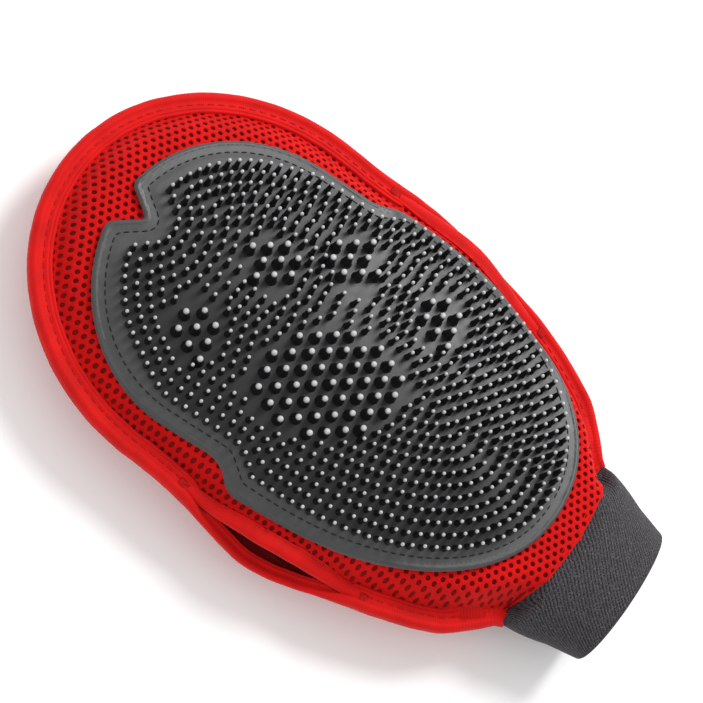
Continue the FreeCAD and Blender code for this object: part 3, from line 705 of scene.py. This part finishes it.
pad = bmesh.new()
lift = pad.verts.layers.float.new("lift")
ring = bmesh.ops.create_circle(pad, cap_ends=True, radius=1.0, segments=len(corners))["verts"]
for vert, (place, rounding) in zip(ring, corners):
    vert.co = place
for radius in sorted({rounding for place, rounding in corners if rounding}):
    chosen = [vert for vert, (place, rounding) in zip(ring, corners) if rounding == radius]
    bmesh.ops.bevel(pad, geom=chosen, offset=radius, offset_type="OFFSET", segments=4,
                    profile=0.5, affect="VERTICES", material=-1)
for vert in pad.verts:
    vert[lift] = -EDGE_FALL
sheet_face = max(pad.faces, key=lambda face: face.calc_area())
for width, raised in LIP:
    bmesh.ops.inset_region(pad, faces=[sheet_face], thickness=width,
                           use_boundary=True, use_even_offset=True)
    sheet_face = max(pad.faces, key=lambda face: face.calc_area())
    for vert in sheet_face.verts:
        vert[lift] = raised
slice_up(pad, PAD_STEP)
PAD_TOP = PANEL + SEAT + PAD_THICK


def sheet_top(x, y):
    return palm_height(x, y) + PAD_TOP


for vert in pad.verts:
    from_edge = edge_distance(vert.co.x, vert.co.y)
    groove = 0.28 * MM * math.exp(-(((from_edge - STITCH_IN) / (0.8 * MM)) ** 2))
    vert.co.z = vert[lift] - groove
lay_on(pad, sheet_top)
thicken(pad, -PAD_THICK)
print("pad sheet", len(pad.faces), "faces")

# %% [markdown]
# ## Nubs
# Fine nubs stand in rows that follow the outline, and coarse ones form a paw print. The rows
# are the outline moved in step by step, which a maker would do with a compass. Each nub
# stands square on the sheet, with a little seeded unevenness, as moulded rubber has.

# %% Rows of places
NUB_BORDER = 7.4 * MM
TIP_EXTRA = 2.6 * MM
TIP_EXTRA_LENGTH = 20 * MM
BED_SOFTNESS = 1.5 * MM
ROW_PITCH = 4 * MM
FINE_PITCH = 3.5 * MM
COARSE_PITCH = 6 * MM
FINE = (0.95 * MM, 0.65 * MM)
COARSE = (1.7 * MM, 1.15 * MM)
NUB_LENGTH = 6 * MM
CROWDING = 0.8
FAN = math.radians(4)
PAW_MIDDLE = Vector((-14.1 * MM, WRIST_Y + 95.1 * MM, 0))
PAW_TURN = math.radians(41.6)
PAW_PADS = [  # middle along and across the paw, half length and half width, in millimetres
    (0, 0, 18.5, 28), (20.5, -42, 11, 9.5), (41, -14.5, 11, 9.5), (41, 14.5, 11, 9.5), (20.5, 42, 11, 9.5),
]
PAW_ALONG = Vector((math.cos(PAW_TURN), math.sin(PAW_TURN), 0))
PAW_ACROSS = Vector((math.sin(PAW_TURN), -math.cos(PAW_TURN), 0))


def tip_extra(y):
    """How much wider the pad's plain border is towards the fingertips."""
    return TIP_EXTRA * smooth_step((y - TIP_CENTRE) / TIP_EXTRA_LENGTH)


def in_paw(place, margin):
    from_middle = place - PAW_MIDDLE
    along, across = from_middle.dot(PAW_ALONG) / MM, from_middle.dot(PAW_ACROSS) / MM
    margin /= MM
    for middle_along, middle_across, half_long, half_wide in PAW_PADS:
        u = (along - middle_along) / (half_long + margin)
        v = (across - middle_across) / (half_wide + margin)
        if u * u + v * v < 1:
            return True
    return False


def inward_fans():
    """Each edge point with its inward directions: several where a corner points in."""
    fans = []
    count = len(pad_edge)
    inwards = []
    for k, place in enumerate(pad_edge):
        along = (pad_edge[(k + 1) % count] - place).normalized()
        inwards.append(Vector((-along.y, along.x, 0)))
    for k, place in enumerate(pad_edge):
        first, last = inwards[k - 1], inwards[k]
        steps = max(1, round(first.angle(last) / FAN))
        for j in range(steps):
            share = (j + 0.5) / steps
            fans.append((place, first.lerp(last, share).normalized()))
    return fans


fans = inward_fans()


def row_places(inset):
    """The outline moved in, further at the finger end, less what nears another side."""
    row = []
    for place, inward in fans:
        far = inset + tip_extra(place.y)
        moved = place + inward * far
        if edge_distance(moved.x, moved.y) > far - 0.25 * MM:
            row.append(moved)
    return row


fine_places = []
inset = NUB_BORDER
row = row_places(inset)
while row:
    last = None
    for place in row:
        if last is not None and (place - last).length < FINE_PITCH:
            continue
        crowded = any((place - other).length < CROWDING * FINE_PITCH for other in fine_places)
        if crowded or in_paw(place, FINE[0]):
            continue
        fine_places.append(place)
        last = place
    inset += ROW_PITCH
    row = row_places(inset)

coarse_places = []
for i in range(-12, 13):
    for j in range(-12, 13):
        along = COARSE_PITCH * i * math.sqrt(3) / 2
        across = COARSE_PITCH * (j + 0.5 * (i % 2))
        place = PAW_MIDDLE + PAW_ALONG * along + PAW_ACROSS * across
        if in_paw(place, -COARSE[0] / 2):
            coarse_places.append(place)
print("fine nubs", len(fine_places), "coarse nubs", len(coarse_places))


# %% Nubs on the sheet
def surface_normal(height, x, y):
    step = 1 * MM
    across = (height(x + step, y) - height(x - step, y)) / (2 * step)
    along = (height(x, y + step) - height(x, y - step)) / (2 * step)
    return Vector((-across, -along, 1)).normalized()


def nub_template(base, tip, sides):
    """A tapered pin with a flared foot and a round tip, spun round its axis."""
    bm = bmesh.new()
    profile = [
        (0.0, -0.3 * MM), (1.4 * base, -0.3 * MM), (1.1 * base, 0.45 * MM), (base, 0.2 * NUB_LENGTH),
        (tip, NUB_LENGTH - tip), (0.78 * tip, NUB_LENGTH - 0.35 * tip), (0.0, NUB_LENGTH),
    ]
    verts = [bm.verts.new((radius, 0, z)) for radius, z in profile]
    edges = [bm.edges.new(pair) for pair in zip(verts, verts[1:])]
    bmesh.ops.spin(bm, geom=verts + edges, cent=(0, 0, 0), axis=UP, angle=2 * math.pi,
                   steps=sides, use_merge=True)
    bmesh.ops.remove_doubles(bm, verts=bm.verts[:], dist=0.001 * MM)
    bmesh.ops.recalc_face_normals(bm, faces=bm.faces[:])
    mesh = bpy.data.meshes.new("nub_template")
    bm.to_mesh(mesh)
    bm.free()
    return mesh


random.seed(7)
sheet_count = len(pad.verts)
for places, (base, tip), sides in ((fine_places, FINE, 8), (coarse_places, COARSE, 10)):
    template = nub_template(base, tip, sides)
    for place in places:
        foot = Vector((place.x, place.y, sheet_top(place.x, place.y)))
        lean = Vector((random.gauss(0, 0.02), random.gauss(0, 0.02), 0))
        square = UP.rotation_difference(surface_normal(palm_height, place.x, place.y) + lean)
        grown = Matrix.Diagonal((1, 1, random.uniform(0.97, 1.02), 1))
        nub = template.copy()
        nub.transform(Matrix.Translation(foot) @ square.to_matrix().to_4x4() @ grown)
        pad.from_mesh(nub)
        bpy.data.meshes.remove(nub)
    bpy.data.meshes.remove(template)

# nub_height and bed steer the rubber's painted shade and painted tip highlights.
nub_height = pad.verts.layers.float.new("nub_height")
bed = pad.verts.layers.float.new("bed")
pad.verts.index_update()
for vert in pad.verts:
    x, y, z = vert.co
    if vert.index < sheet_count:
        far = edge_distance(x, y) if inside_pad(x, y) else 0.0
        vert[bed] = smooth_step((far - BED_IN - tip_extra(y)) / BED_SOFTNESS)
    else:
        above = (z - sheet_top(x, y)) * surface_normal(palm_height, x, y).z
        vert[nub_height] = min(max(above / NUB_LENGTH, 0.05), 1.0)
brush_pad = finish_piece(pad, "brush_pad", brush_rubber, sharp=60)

# %% [markdown]
# ## Edge tape
# One length of tape runs from the wrist up one side, round the fingers and down the other. Its
# section is a fold round both panels, with a rolled outer edge and a double ridge at the
# seam. Beside a thumb slot it holds only the back panel, so its upper side is lower and
# narrower there. The section is bent round the edge as a grid, one row of points for each
# station on the way.

# %% Stations round the edge
STATION = 2.2 * MM
END_OVERHANG = 3 * MM


def right_edge(low_y, high_y):
    count = math.ceil((high_y - low_y) / STATION)
    ys = [low_y + (high_y - low_y) * k / count for k in range(count + 1)]
    return [Vector((half_width(y), y, 0)) for y in ys]


def tip_edge():
    count = math.ceil(math.pi * TIP_LENGTH / STATION)
    turns = [math.pi * k / count for k in range(1, count)]
    return [Vector((FINGER_HALF * math.cos(a), TIP_CENTRE + TIP_LENGTH * math.sin(a), 0)) for a in turns]


def stations(points):
    """Each point with the direction that leads in from the edge, for a line that runs
    with the mitt on its left."""
    framed = []
    for k, point in enumerate(points):
        before = points[max(k - 1, 0)]
        after = points[min(k + 1, len(points) - 1)]
        along = (after - before).normalized()
        framed.append((point, Vector((-along.y, along.x, 0))))
    return framed


def mirrored(points):
    return [Vector((-p.x, p.y, p.z)) for p in reversed(points)]


def run_length(points):
    return sum((b - a).length for a, b in zip(points, points[1:]))


def sweep(points, section, settle):
    """Bends a closed section along a line. settle(point, inward, inset, height) gives
    the place of one section point at one station."""
    framed = stations(points)
    rows = len(framed) - 1
    columns = len(section)

    def place(u, v):
        point, inward = framed[round(v * rows)]
        inset, height = section[round(u * columns) % columns]
        return settle(point, inward, inset * MM, height * MM)

    around = sum(math.dist(a, b) for a, b in zip(section, [*section[1:], section[0]])) * MM
    return bent_grid(columns, rows, place, (around, run_length(points)))


# %% Edge tape
TAPE_UPPER = [
    (0.0, 0.0), (0.05, 0.9), (0.3, 1.9), (0.9, 2.75), (1.7, 3.2), (2.5, 3.15), (3.1, 2.8),
    (3.6, 2.5), (4.4, 2.4), (5.2, 2.42), (5.55, 2.72), (5.95, 2.9), (6.35, 2.75), (6.6, 2.55),
    (6.9, 2.8), (7.3, 2.95), (7.7, 2.7), (8.0, 2.1),
]
TAPE_INSIDE = [(7.6, 1.96), (1.6, 1.96), (1.2, 0.0), (1.6, -1.96), (7.6, -1.96)]
TAPE_SECTION = TAPE_UPPER + TAPE_INSIDE + [(inset, -height) for inset, height in reversed(TAPE_UPPER[1:])]
SLOT_BLEND = 12 * MM
PUCKERS = 160
ON_PANEL = 1.6 * MM
SLOT_TOP = 0.36
END_ROUND = 6 * MM


def beside_slot(y):
    return smooth_step((y - SLOT_START) / SLOT_BLEND) * smooth_step((SLOT_END + 4 * MM - y) / SLOT_BLEND)


def pucker(point, size):
    """A seeded unevenness, as sewing gives."""
    return size * noise.noise(point * PUCKERS + Vector((3.1, 0, 0)))


def settle_tape(point, inward, inset, height):
    y = point.y
    to_end = min(max((y - WRIST_Y + END_OVERHANG) / END_ROUND, 0.02), 1.0)
    rounded = math.sqrt(1 - (1 - to_end) ** 2)
    middle = TAPE_WIDTH / 2
    inset = middle + (inset - middle) * (0.5 + 0.5 * rounded)
    height *= rounded
    if height > 0:
        height *= 1 - (1 - SLOT_TOP) * beside_slot(y)
        inset *= 1 - 0.35 * beside_slot(y)
    place = point + inward * (inset + pucker(point, 0.25 * MM))
    z = SEAM_Z + height * (1 + pucker(point, 0.12)) - slot_open(y)
    over = height - HALF_SEAM if height > 0 else height + HALF_SEAM
    if inset > TAPE_WIDTH / 2 and rounded > 0.99:
        if over > ON_PANEL and not beside_slot(y):
            z = max(z, palm_height(place.x, place.y) + over)
        if over < -ON_PANEL:
            z = min(z, back_height(place.x, place.y) + over)
    return Vector((place.x, place.y, z))


right_run = right_edge(WRIST_Y - END_OVERHANG, TIP_CENTRE)
tape_run = right_run + tip_edge() + mirrored(right_run)
tape_bm = sweep(tape_run, TAPE_SECTION, settle_tape)
edge_tape = finish_piece(tape_bm, "edge_binding_tape", tape_red, sharp=70)

# %% [markdown]
# ## Slot tape
# The palm's edge of each thumb slot has a softer fold of the same tape. It comes out from
# under the edge tape at the finger end and goes back under it towards the wrist. Between
# them the thumb has drawn it in, so that the slot gapes and the back's edge shows below.

# %% Slot tape
SLOT_SECTION = [
    (0.0, 0.9), (0.15, 1.7), (0.8, 2.35), (2.0, 2.72), (3.4, 2.75), (4.8, 2.55), (5.8, 2.3),
    (6.15, 2.42), (6.45, 2.36), (6.7, 1.72), (6.2, 1.64), (1.4, 1.64), (1.2, 0.8), (1.4, -0.04),
    (6.2, -0.04), (6.6, -0.12), (6.5, -0.5), (3.4, -0.6), (0.9, -0.45), (0.2, 0.1),
]
SLOT_TUCK = 3.0 * MM
SLOT_BROAD = 0.86


def slot_inset(y, inset):
    """Where a point of the tape's section lies, from the mitt's outer edge."""
    along = min(max((y - SLOT_START) / (SLOT_END - SLOT_START), 0.0), 1.0)
    tuck = SLOT_TUCK * (1 - math.sin(math.pi * along) ** 0.6)
    broad = 1 + (SLOT_BROAD - 1) * math.sin(math.pi * along) ** 0.5
    return slot_pull(y) + tuck + inset * broad * (1 - tuck / SLOT_TAPE_WIDTH)


def settle_slot_tape(point, inward, inset, height):
    inset = slot_inset(point.y, inset)
    place = point + inward * (inset + pucker(point + UP * MM, 0.2 * MM))
    level = palm_height(place.x, place.y)
    return Vector((place.x, place.y, level + height * (1 + pucker(point, 0.1))))


right_slot = right_edge(SLOT_START - 1 * MM, SLOT_END + 3 * MM)
slot_tapes = {}
for side_name, run in (("right", right_slot), ("left", mirrored(right_slot))):
    bm = sweep(run, SLOT_SECTION, settle_slot_tape)
    slot_tapes[side_name] = finish_piece(bm, f"slot_tape_{side_name}", tape_red, sharp=70)

# %% [markdown]
# ## The elastic cuff
# The cuff is a tube of knitted elastic that starts under the panels' edge, swells a little
# as it comes out, and narrows to the forearm. Its section turns from the flat mouth of the
# panels into an oval. One closed grid runs down the outside, round the hem and up the inside.

# %% Cuff
CUFF_LOW, CUFF_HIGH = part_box("cuff_elastic")
CUFF_MIDDLE_Z = (CUFF_LOW.z + CUFF_HIGH.z) / 2
CUFF_HALF = CUFF_HIGH.x
CUFF_TALL = (CUFF_HIGH.z - CUFF_LOW.z) / 2
CUFF_END_HALF = 27 * MM
CUFF_END_TALL = 15.4 * MM
CUFF_WALL = 1.6 * MM
CUFF_TUCK = 5 * MM
CUFF_SWELL = 0.8 * MM
CUFF_AROUND = 144
CUFF_OUTSIDE = 30
CUFF_HEM = 6


def cuff_ring(turn, y, inner):
    """One point of the cuff's section at y, on the outside or moved in by the wall."""
    along = min(max((WRIST_Y - y) / (WRIST_Y - CUFF_LOW.y), 0.0), 1.0)
    swell = CUFF_SWELL * math.sin(math.pi * min(along * 1.6, 1.0)) - inner
    half = CUFF_HALF + (CUFF_END_HALF - CUFF_HALF) * along + swell
    tall = CUFF_TALL + (CUFF_END_TALL - CUFF_TALL) * along + swell
    x = half * math.cos(turn)
    oval = tall * math.sin(turn)
    z = CUFF_MIDDLE_Z + oval
    free = smooth_step((wrist_edge(x) - 0.6 * MM - y) / (5 * MM))
    if free < 1:
        x_in = (WRIST_HALF - WRIST_NIP - 2.2 * MM - inner * 0.5) * math.cos(turn)
        gap = 0.35 * MM + inner
        roof = max(palm_height(x_in, WRIST_Y) - gap, SEAM_Z + 0.1 * MM)
        floor = min(back_height(x_in, WRIST_Y) + gap, SEAM_Z - 0.1 * MM)
        tucked = min(z, roof) if oval > 0 else max(z, floor)
        x = x_in + (x - x_in) * free
        z = tucked + (z - tucked) * free
    return Vector((x, y, z))


cuff_length = WRIST_Y + CUFF_TUCK - CUFF_LOW.y
cuff_way = [(WRIST_Y + CUFF_TUCK - cuff_length * k / CUFF_OUTSIDE, 0.0) for k in range(CUFF_OUTSIDE)]
for k in range(CUFF_HEM + 1):
    turn = math.pi * k / CUFF_HEM
    hem_y = CUFF_LOW.y + CUFF_WALL / 2 * (1 - math.sin(turn))
    cuff_way.append((hem_y, CUFF_WALL / 2 * (1 - math.cos(turn))))
cuff_way += [(WRIST_Y + CUFF_TUCK - cuff_length * k / 12, CUFF_WALL) for k in reversed(range(12))]


def place_cuff(u, v):
    y, inner = cuff_way[round(v * len(cuff_way)) % len(cuff_way)]
    return cuff_ring(2 * math.pi * round(u * CUFF_AROUND) / CUFF_AROUND, y, inner)


around = math.pi * (CUFF_HALF + CUFF_TALL)
cuff_bm = bent_grid(CUFF_AROUND, len(cuff_way), place_cuff, (around, 2 * cuff_length))
cuff = finish_piece(cuff_bm, "cuff_sleeve", cuff_knit, sharp=60)

# %% [markdown]
# ## Stitching
# A lock stitch shows as a row of short plump threads with gaps where the thread dives. One
# stretched `create_uvsphere` per stitch is enough, turned along its line. Bar tacks are the
# same stitches side by side.

# %% Stitch helper
THREAD = 0.5 * MM
STITCH = 2.8 * MM
STITCH_PITCH = 3.7 * MM
FINE_THREAD = 0.42 * MM


def add_stitch(bm, start, end, thickness=THREAD):
    """One plump thread between two points."""
    along = end - start
    turn = Vector((1, 0, 0)).rotation_difference(along).to_matrix().to_4x4()
    shape = Matrix.Diagonal((along.length, thickness, thickness, 1))
    spot = Matrix.Translation((start + end) / 2) @ turn @ shape
    bmesh.ops.create_uvsphere(bm, u_segments=6, v_segments=5, radius=0.5, matrix=spot)


def along_line(points, spacing):
    """Points evenly spaced along a line of points."""
    spaced, left = [points[0]], spacing
    for a, b in zip(points, points[1:]):
        length = (b - a).length
        done = 0.0
        while length - done >= left:
            done += left
            spaced.append(a.lerp(b, done / length))
            left = spacing
        left -= length - done
    return spaced


def sew(bm, points, stitch=STITCH, pitch=STITCH_PITCH, thickness=THREAD):
    """Stitches along a line of points in space."""
    fine = along_line(points, pitch / 8)
    span = round(8 * stitch / pitch)
    for k in range(0, len(fine) - span, 8):
        add_stitch(bm, fine[k], fine[k + span], thickness)


def red_seam(name, lines, thickness=FINE_THREAD):
    """One piece of red stitches along several lines."""
    bm = bmesh.new()
    for line in lines:
        sew(bm, line, thickness=thickness)
    return finish_piece(bm, name, red_thread, sharp=180)


def raised(points, height, up):
    return [Vector((p.x, p.y, height(p.x, p.y) + up)) for p in points]


# %% Pad stitching
stitch_row = [place + inward * STITCH_IN for place, inward in fans]
stitch_row = [p for p in stitch_row if edge_distance(p.x, p.y) > STITCH_IN - 0.12 * MM]
stitch_row.append(stitch_row[0])
pad_sewing = bmesh.new()
sew(pad_sewing, raised(stitch_row, sheet_top, -0.12 * MM), stitch=2.3 * MM, pitch=3.0 * MM)
pad_stitches = finish_piece(pad_sewing, "pad_stitches", black_thread, sharp=180)

# %% Tape stitching
TAPE_STITCH_IN = 4.8 * MM
TAPE_STITCH_UP = 2.5 * MM
tape_line = [point + inward * TAPE_STITCH_IN for point, inward in stations(tape_run)]
tape_lines = []
for up, drop in ((TAPE_STITCH_UP, 1 - SLOT_TOP), (-TAPE_STITCH_UP, 0.0)):
    line = []
    for p in tape_line:
        if p.y < WRIST_Y + 4 * MM:
            continue
        line.append(Vector((p.x, p.y, SEAM_Z + up * (1 - drop * beside_slot(p.y)) - slot_open(p.y))))
    tape_lines.append(line)
tape_stitches = red_seam("edge_tape_stitches", tape_lines)

# %% Slot, wrist and cuff stitching
SLOT_STITCH_IN = 5.7 * MM
SLOT_STITCH_UP = 2.32 * MM
WRIST_STITCH_IN = 2.6 * MM
WRIST_STITCH_UP = PANEL + 0.05 * MM
WRIST_LINE_STEPS = 60
CUFF_SEAM_FROM = WRIST_Y - 7 * MM
CUFF_SEAM_PITCH = 0.9 * MM
CUFF_SEAM_POINTS = 27
CUFF_SEAM_HALF = 1.4 * MM
slot_lines = []
for run in (right_slot, mirrored(right_slot)):
    line = [point + inward * slot_inset(point.y, SLOT_STITCH_IN) for point, inward in stations(run)]
    slot_lines.append(raised(line[4:-4], palm_height, SLOT_STITCH_UP))
slot_stitches = red_seam("slot_tape_stitches", slot_lines, thickness=0.4 * MM)

half = WRIST_HALF - TAPE_WIDTH - 2 * MM
wrist_line = []
for k in range(WRIST_LINE_STEPS + 1):
    x = half * (2 * k / WRIST_LINE_STEPS - 1)
    wrist_line.append(Vector((x, wrist_edge(x) + WRIST_STITCH_IN, 0)))
wrist_lines = [
    raised(wrist_line, palm_height, WRIST_STITCH_UP),
    raised(wrist_line, back_height, -WRIST_STITCH_UP),
]
wrist_stitches = red_seam("wrist_stitches", wrist_lines)

cuff_sewing = bmesh.new()
seam_ys = [CUFF_SEAM_FROM - CUFF_SEAM_PITCH * k for k in range(CUFF_SEAM_POINTS)]
for before, after in zip(seam_ys, seam_ys[1:]):
    for side in (-1, 1):
        aside = Vector((side * CUFF_SEAM_HALF, 0, 0))
        below = Vector((0, 0, -0.05 * MM))
        start = cuff_ring(1.5 * math.pi, before, 0.0) + aside + below
        end = cuff_ring(1.5 * math.pi, after, 0.0) - aside + below
        add_stitch(cuff_sewing, start, end, 0.35 * MM)
cuff_stitches = finish_piece(cuff_sewing, "cuff_seam_stitches", black_thread, sharp=180)

# %% Bar tacks
TACK_THREADS = 7
TACK_PITCH = 0.34 * MM
TACK_OUTER = (2.2 * MM, 3.05 * MM)
TACK_INNER = (6.2 * MM, 2.75 * MM)
tacks = {"wrist": bmesh.new(), "finger": bmesh.new()}
for end_name, y in (("wrist", SLOT_START - 1.6 * MM), ("finger", FLEX_Y + 3 * MM)):
    for side in (-1, 1):
        for k in range(TACK_THREADS):
            along = y + (k - (TACK_THREADS - 1) / 2) * TACK_PITCH
            ends = [Vector((side * (half_width(y) - inset), along, SEAM_Z + up))
                    for inset, up in (TACK_OUTER, TACK_INNER)]
            add_stitch(tacks[end_name], *ends, FINE_THREAD)
tack_pieces = {}
for end_name, bm in tacks.items():
    tack_pieces[end_name] = finish_piece(bm, f"bar_tacks_{end_name}", red_thread, sharp=180)

# %% [markdown]
# ## Joining the pieces to the frame
# The fingers bend about the line across the palm, and the cuff about the wrist seam. Each
# piece that crosses one of those lines is cloth or rubber. Here each piece has its placement
# baked into its mesh, and the wrist stitching is attached to the palm's body. Each piece also
# says which CAD solids it stands for.


def across_fingers(piece):
    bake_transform(piece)


def across_wrist(piece):
    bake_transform(piece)


for piece in (palm_backing, air_mesh, back_panel, brush_pad, edge_tape, pad_stitches, tape_stitches):
    across_fingers(piece)
for piece in (*slot_tapes.values(), slot_stitches, tack_pieces["finger"], tack_pieces["wrist"]):
    across_fingers(piece)
for piece in (cuff, cuff_stitches):
    across_wrist(piece)
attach(wrist_stitches, "palm")

SIDES = ("left", "right")


def both_sides(name):
    return [name.replace("SIDE", side) for side in SIDES]


STANDS_FOR = [
    (air_mesh, "air_mesh", ["palm_mesh_heel", "palm_mesh_fingers"]),
    (palm_backing, "air_mesh", []),
    (back_panel, "back_fabric", ["back_panel_heel", "back_panel_fingers"]),
    (brush_pad, "pad_rubber", ["brush_pad_heel", "brush_pad_fingers"]),
    (edge_tape, "edge_tape",
     ["edge_binding", *both_sides("side_binding_SIDE"), *both_sides("slot_binding_SIDE_back")]),
    (slot_tapes["left"], "edge_tape", ["slot_binding_left_palm"]),
    (slot_tapes["right"], "edge_tape", ["slot_binding_right_palm"]),
    (cuff, "cuff_elastic", ["cuff_elastic"]),
    (pad_stitches, "black_thread", ["pad_stitching_heel", "pad_stitching_fingers"]),
    (tape_stitches, "red_thread",
     ["edge_stitching", *both_sides("side_stitching_SIDE"), *both_sides("slot_stitching_SIDE_back")]),
    (slot_stitches, "red_thread", both_sides("slot_stitching_SIDE_palm")),
    (wrist_stitches, "red_thread", ["wrist_stitching"]),
    (cuff_stitches, "black_thread", ["cuff_seam_stitching"]),
    (tack_pieces["wrist"], "red_thread", both_sides("bar_tack_SIDE_wrist")),
    (tack_pieces["finger"], "red_thread", both_sides("bar_tack_SIDE_finger")),
]
for piece, slot_name, nodes in STANDS_FOR:
    if nodes:
        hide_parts(*nodes)
print("pieces", len(STANDS_FOR))

# %% Cut sizes of the cloth
flat_size = (2 * half_width(BULGE_Y), TIP_Y - WRIST_Y + LAP)

# %% [markdown]
# ## Floor, light and camera
# A pale floor and soft light keep the look plain. One broad lamp stands on the mitt's right,
# low enough to put a sheen on the rubber, and the sky fills the shadows. The camera looks
# down from above the fingers, a little from the left, and is turned so that the fingers
# point to the upper left.

# %% Floor and light
floor_bm = bmesh.new()
bmesh.ops.create_grid(floor_bm, x_segments=1, y_segments=1, size=3.0)
floor_finish, floor_shader = new_finish("floor_paint", roughness=0.9, specular=0.1)
pale_greys = [(0.0, (0.93, 0.93, 0.93)), (1.0, (0.95, 0.95, 0.95))]
floor_tone = ramp(floor_finish, grain(floor_finish, 2.0), pale_greys)
link(floor_finish, floor_tone, floor_shader.inputs["Base Color"])
floor = finish_piece(floor_bm, "floor", floor_finish)

world = bpy.data.worlds.new("soft_sky")
world.use_nodes = True
world.node_tree.nodes["Background"].inputs["Color"].default_value = (1, 1, 1, 1)
world.node_tree.nodes["Background"].inputs["Strength"].default_value = 0.72
bpy.context.scene.world = world
bpy.context.scene.view_settings.view_transform = "Standard"


def add_lamp(name, direction, distance, size, power):
    light = bpy.data.lights.new(name, "AREA")
    light.shape = "DISK"
    light.size = size
    light.energy = power
    lamp = bpy.data.objects.new(name, light)
    lamp.location = Vector(direction).normalized() * distance
    lamp.rotation_mode = "QUATERNION"
    lamp.rotation_quaternion = Vector(direction).to_track_quat("Z", "Y")
    bpy.context.scene.collection.objects.link(lamp)


add_lamp("key_lamp", (0.66, -0.12, 0.75), 1.0, 0.45, 9.0)
add_lamp("fill_lamp", (-0.8, 0.5, 0.9), 1.4, 0.9, 4.0)

# %% Camera
VIEW_SIDE = math.radians(24)
VIEW_TILT = math.radians(7.08)
VIEW_ROLL = math.radians(38.6)
VIEW_DISTANCE = 0.8116
VIEW_LENS = 124
VIEW_TARGET = Vector((7.0 * MM, 5.2 * MM, 24.8 * MM))
level = math.cos(VIEW_TILT)
back = Vector((-math.sin(VIEW_SIDE) * level, math.sin(VIEW_TILT), math.cos(VIEW_SIDE) * level))
fingers_up = (Vector((0, 1, 0)) - back * back.y).normalized()
sideways = fingers_up.cross(back)
image_right = -math.cos(VIEW_ROLL) * fingers_up + math.sin(VIEW_ROLL) * sideways
image_up = math.sin(VIEW_ROLL) * fingers_up + math.cos(VIEW_ROLL) * sideways
lens = bpy.data.cameras.new("camera")
lens.lens = VIEW_LENS
lens.sensor_width = 36
lens.clip_start = 0.05
camera = bpy.data.objects.new("camera", lens)
facing = Matrix((image_right, image_up, back)).transposed().to_4x4()
camera.matrix_world = Matrix.Translation(VIEW_TARGET + back * VIEW_DISTANCE) @ facing
bpy.context.scene.collection.objects.link(camera)
bpy.context.scene.camera = camera
print("camera", [round(c, 3) for c in camera.location])
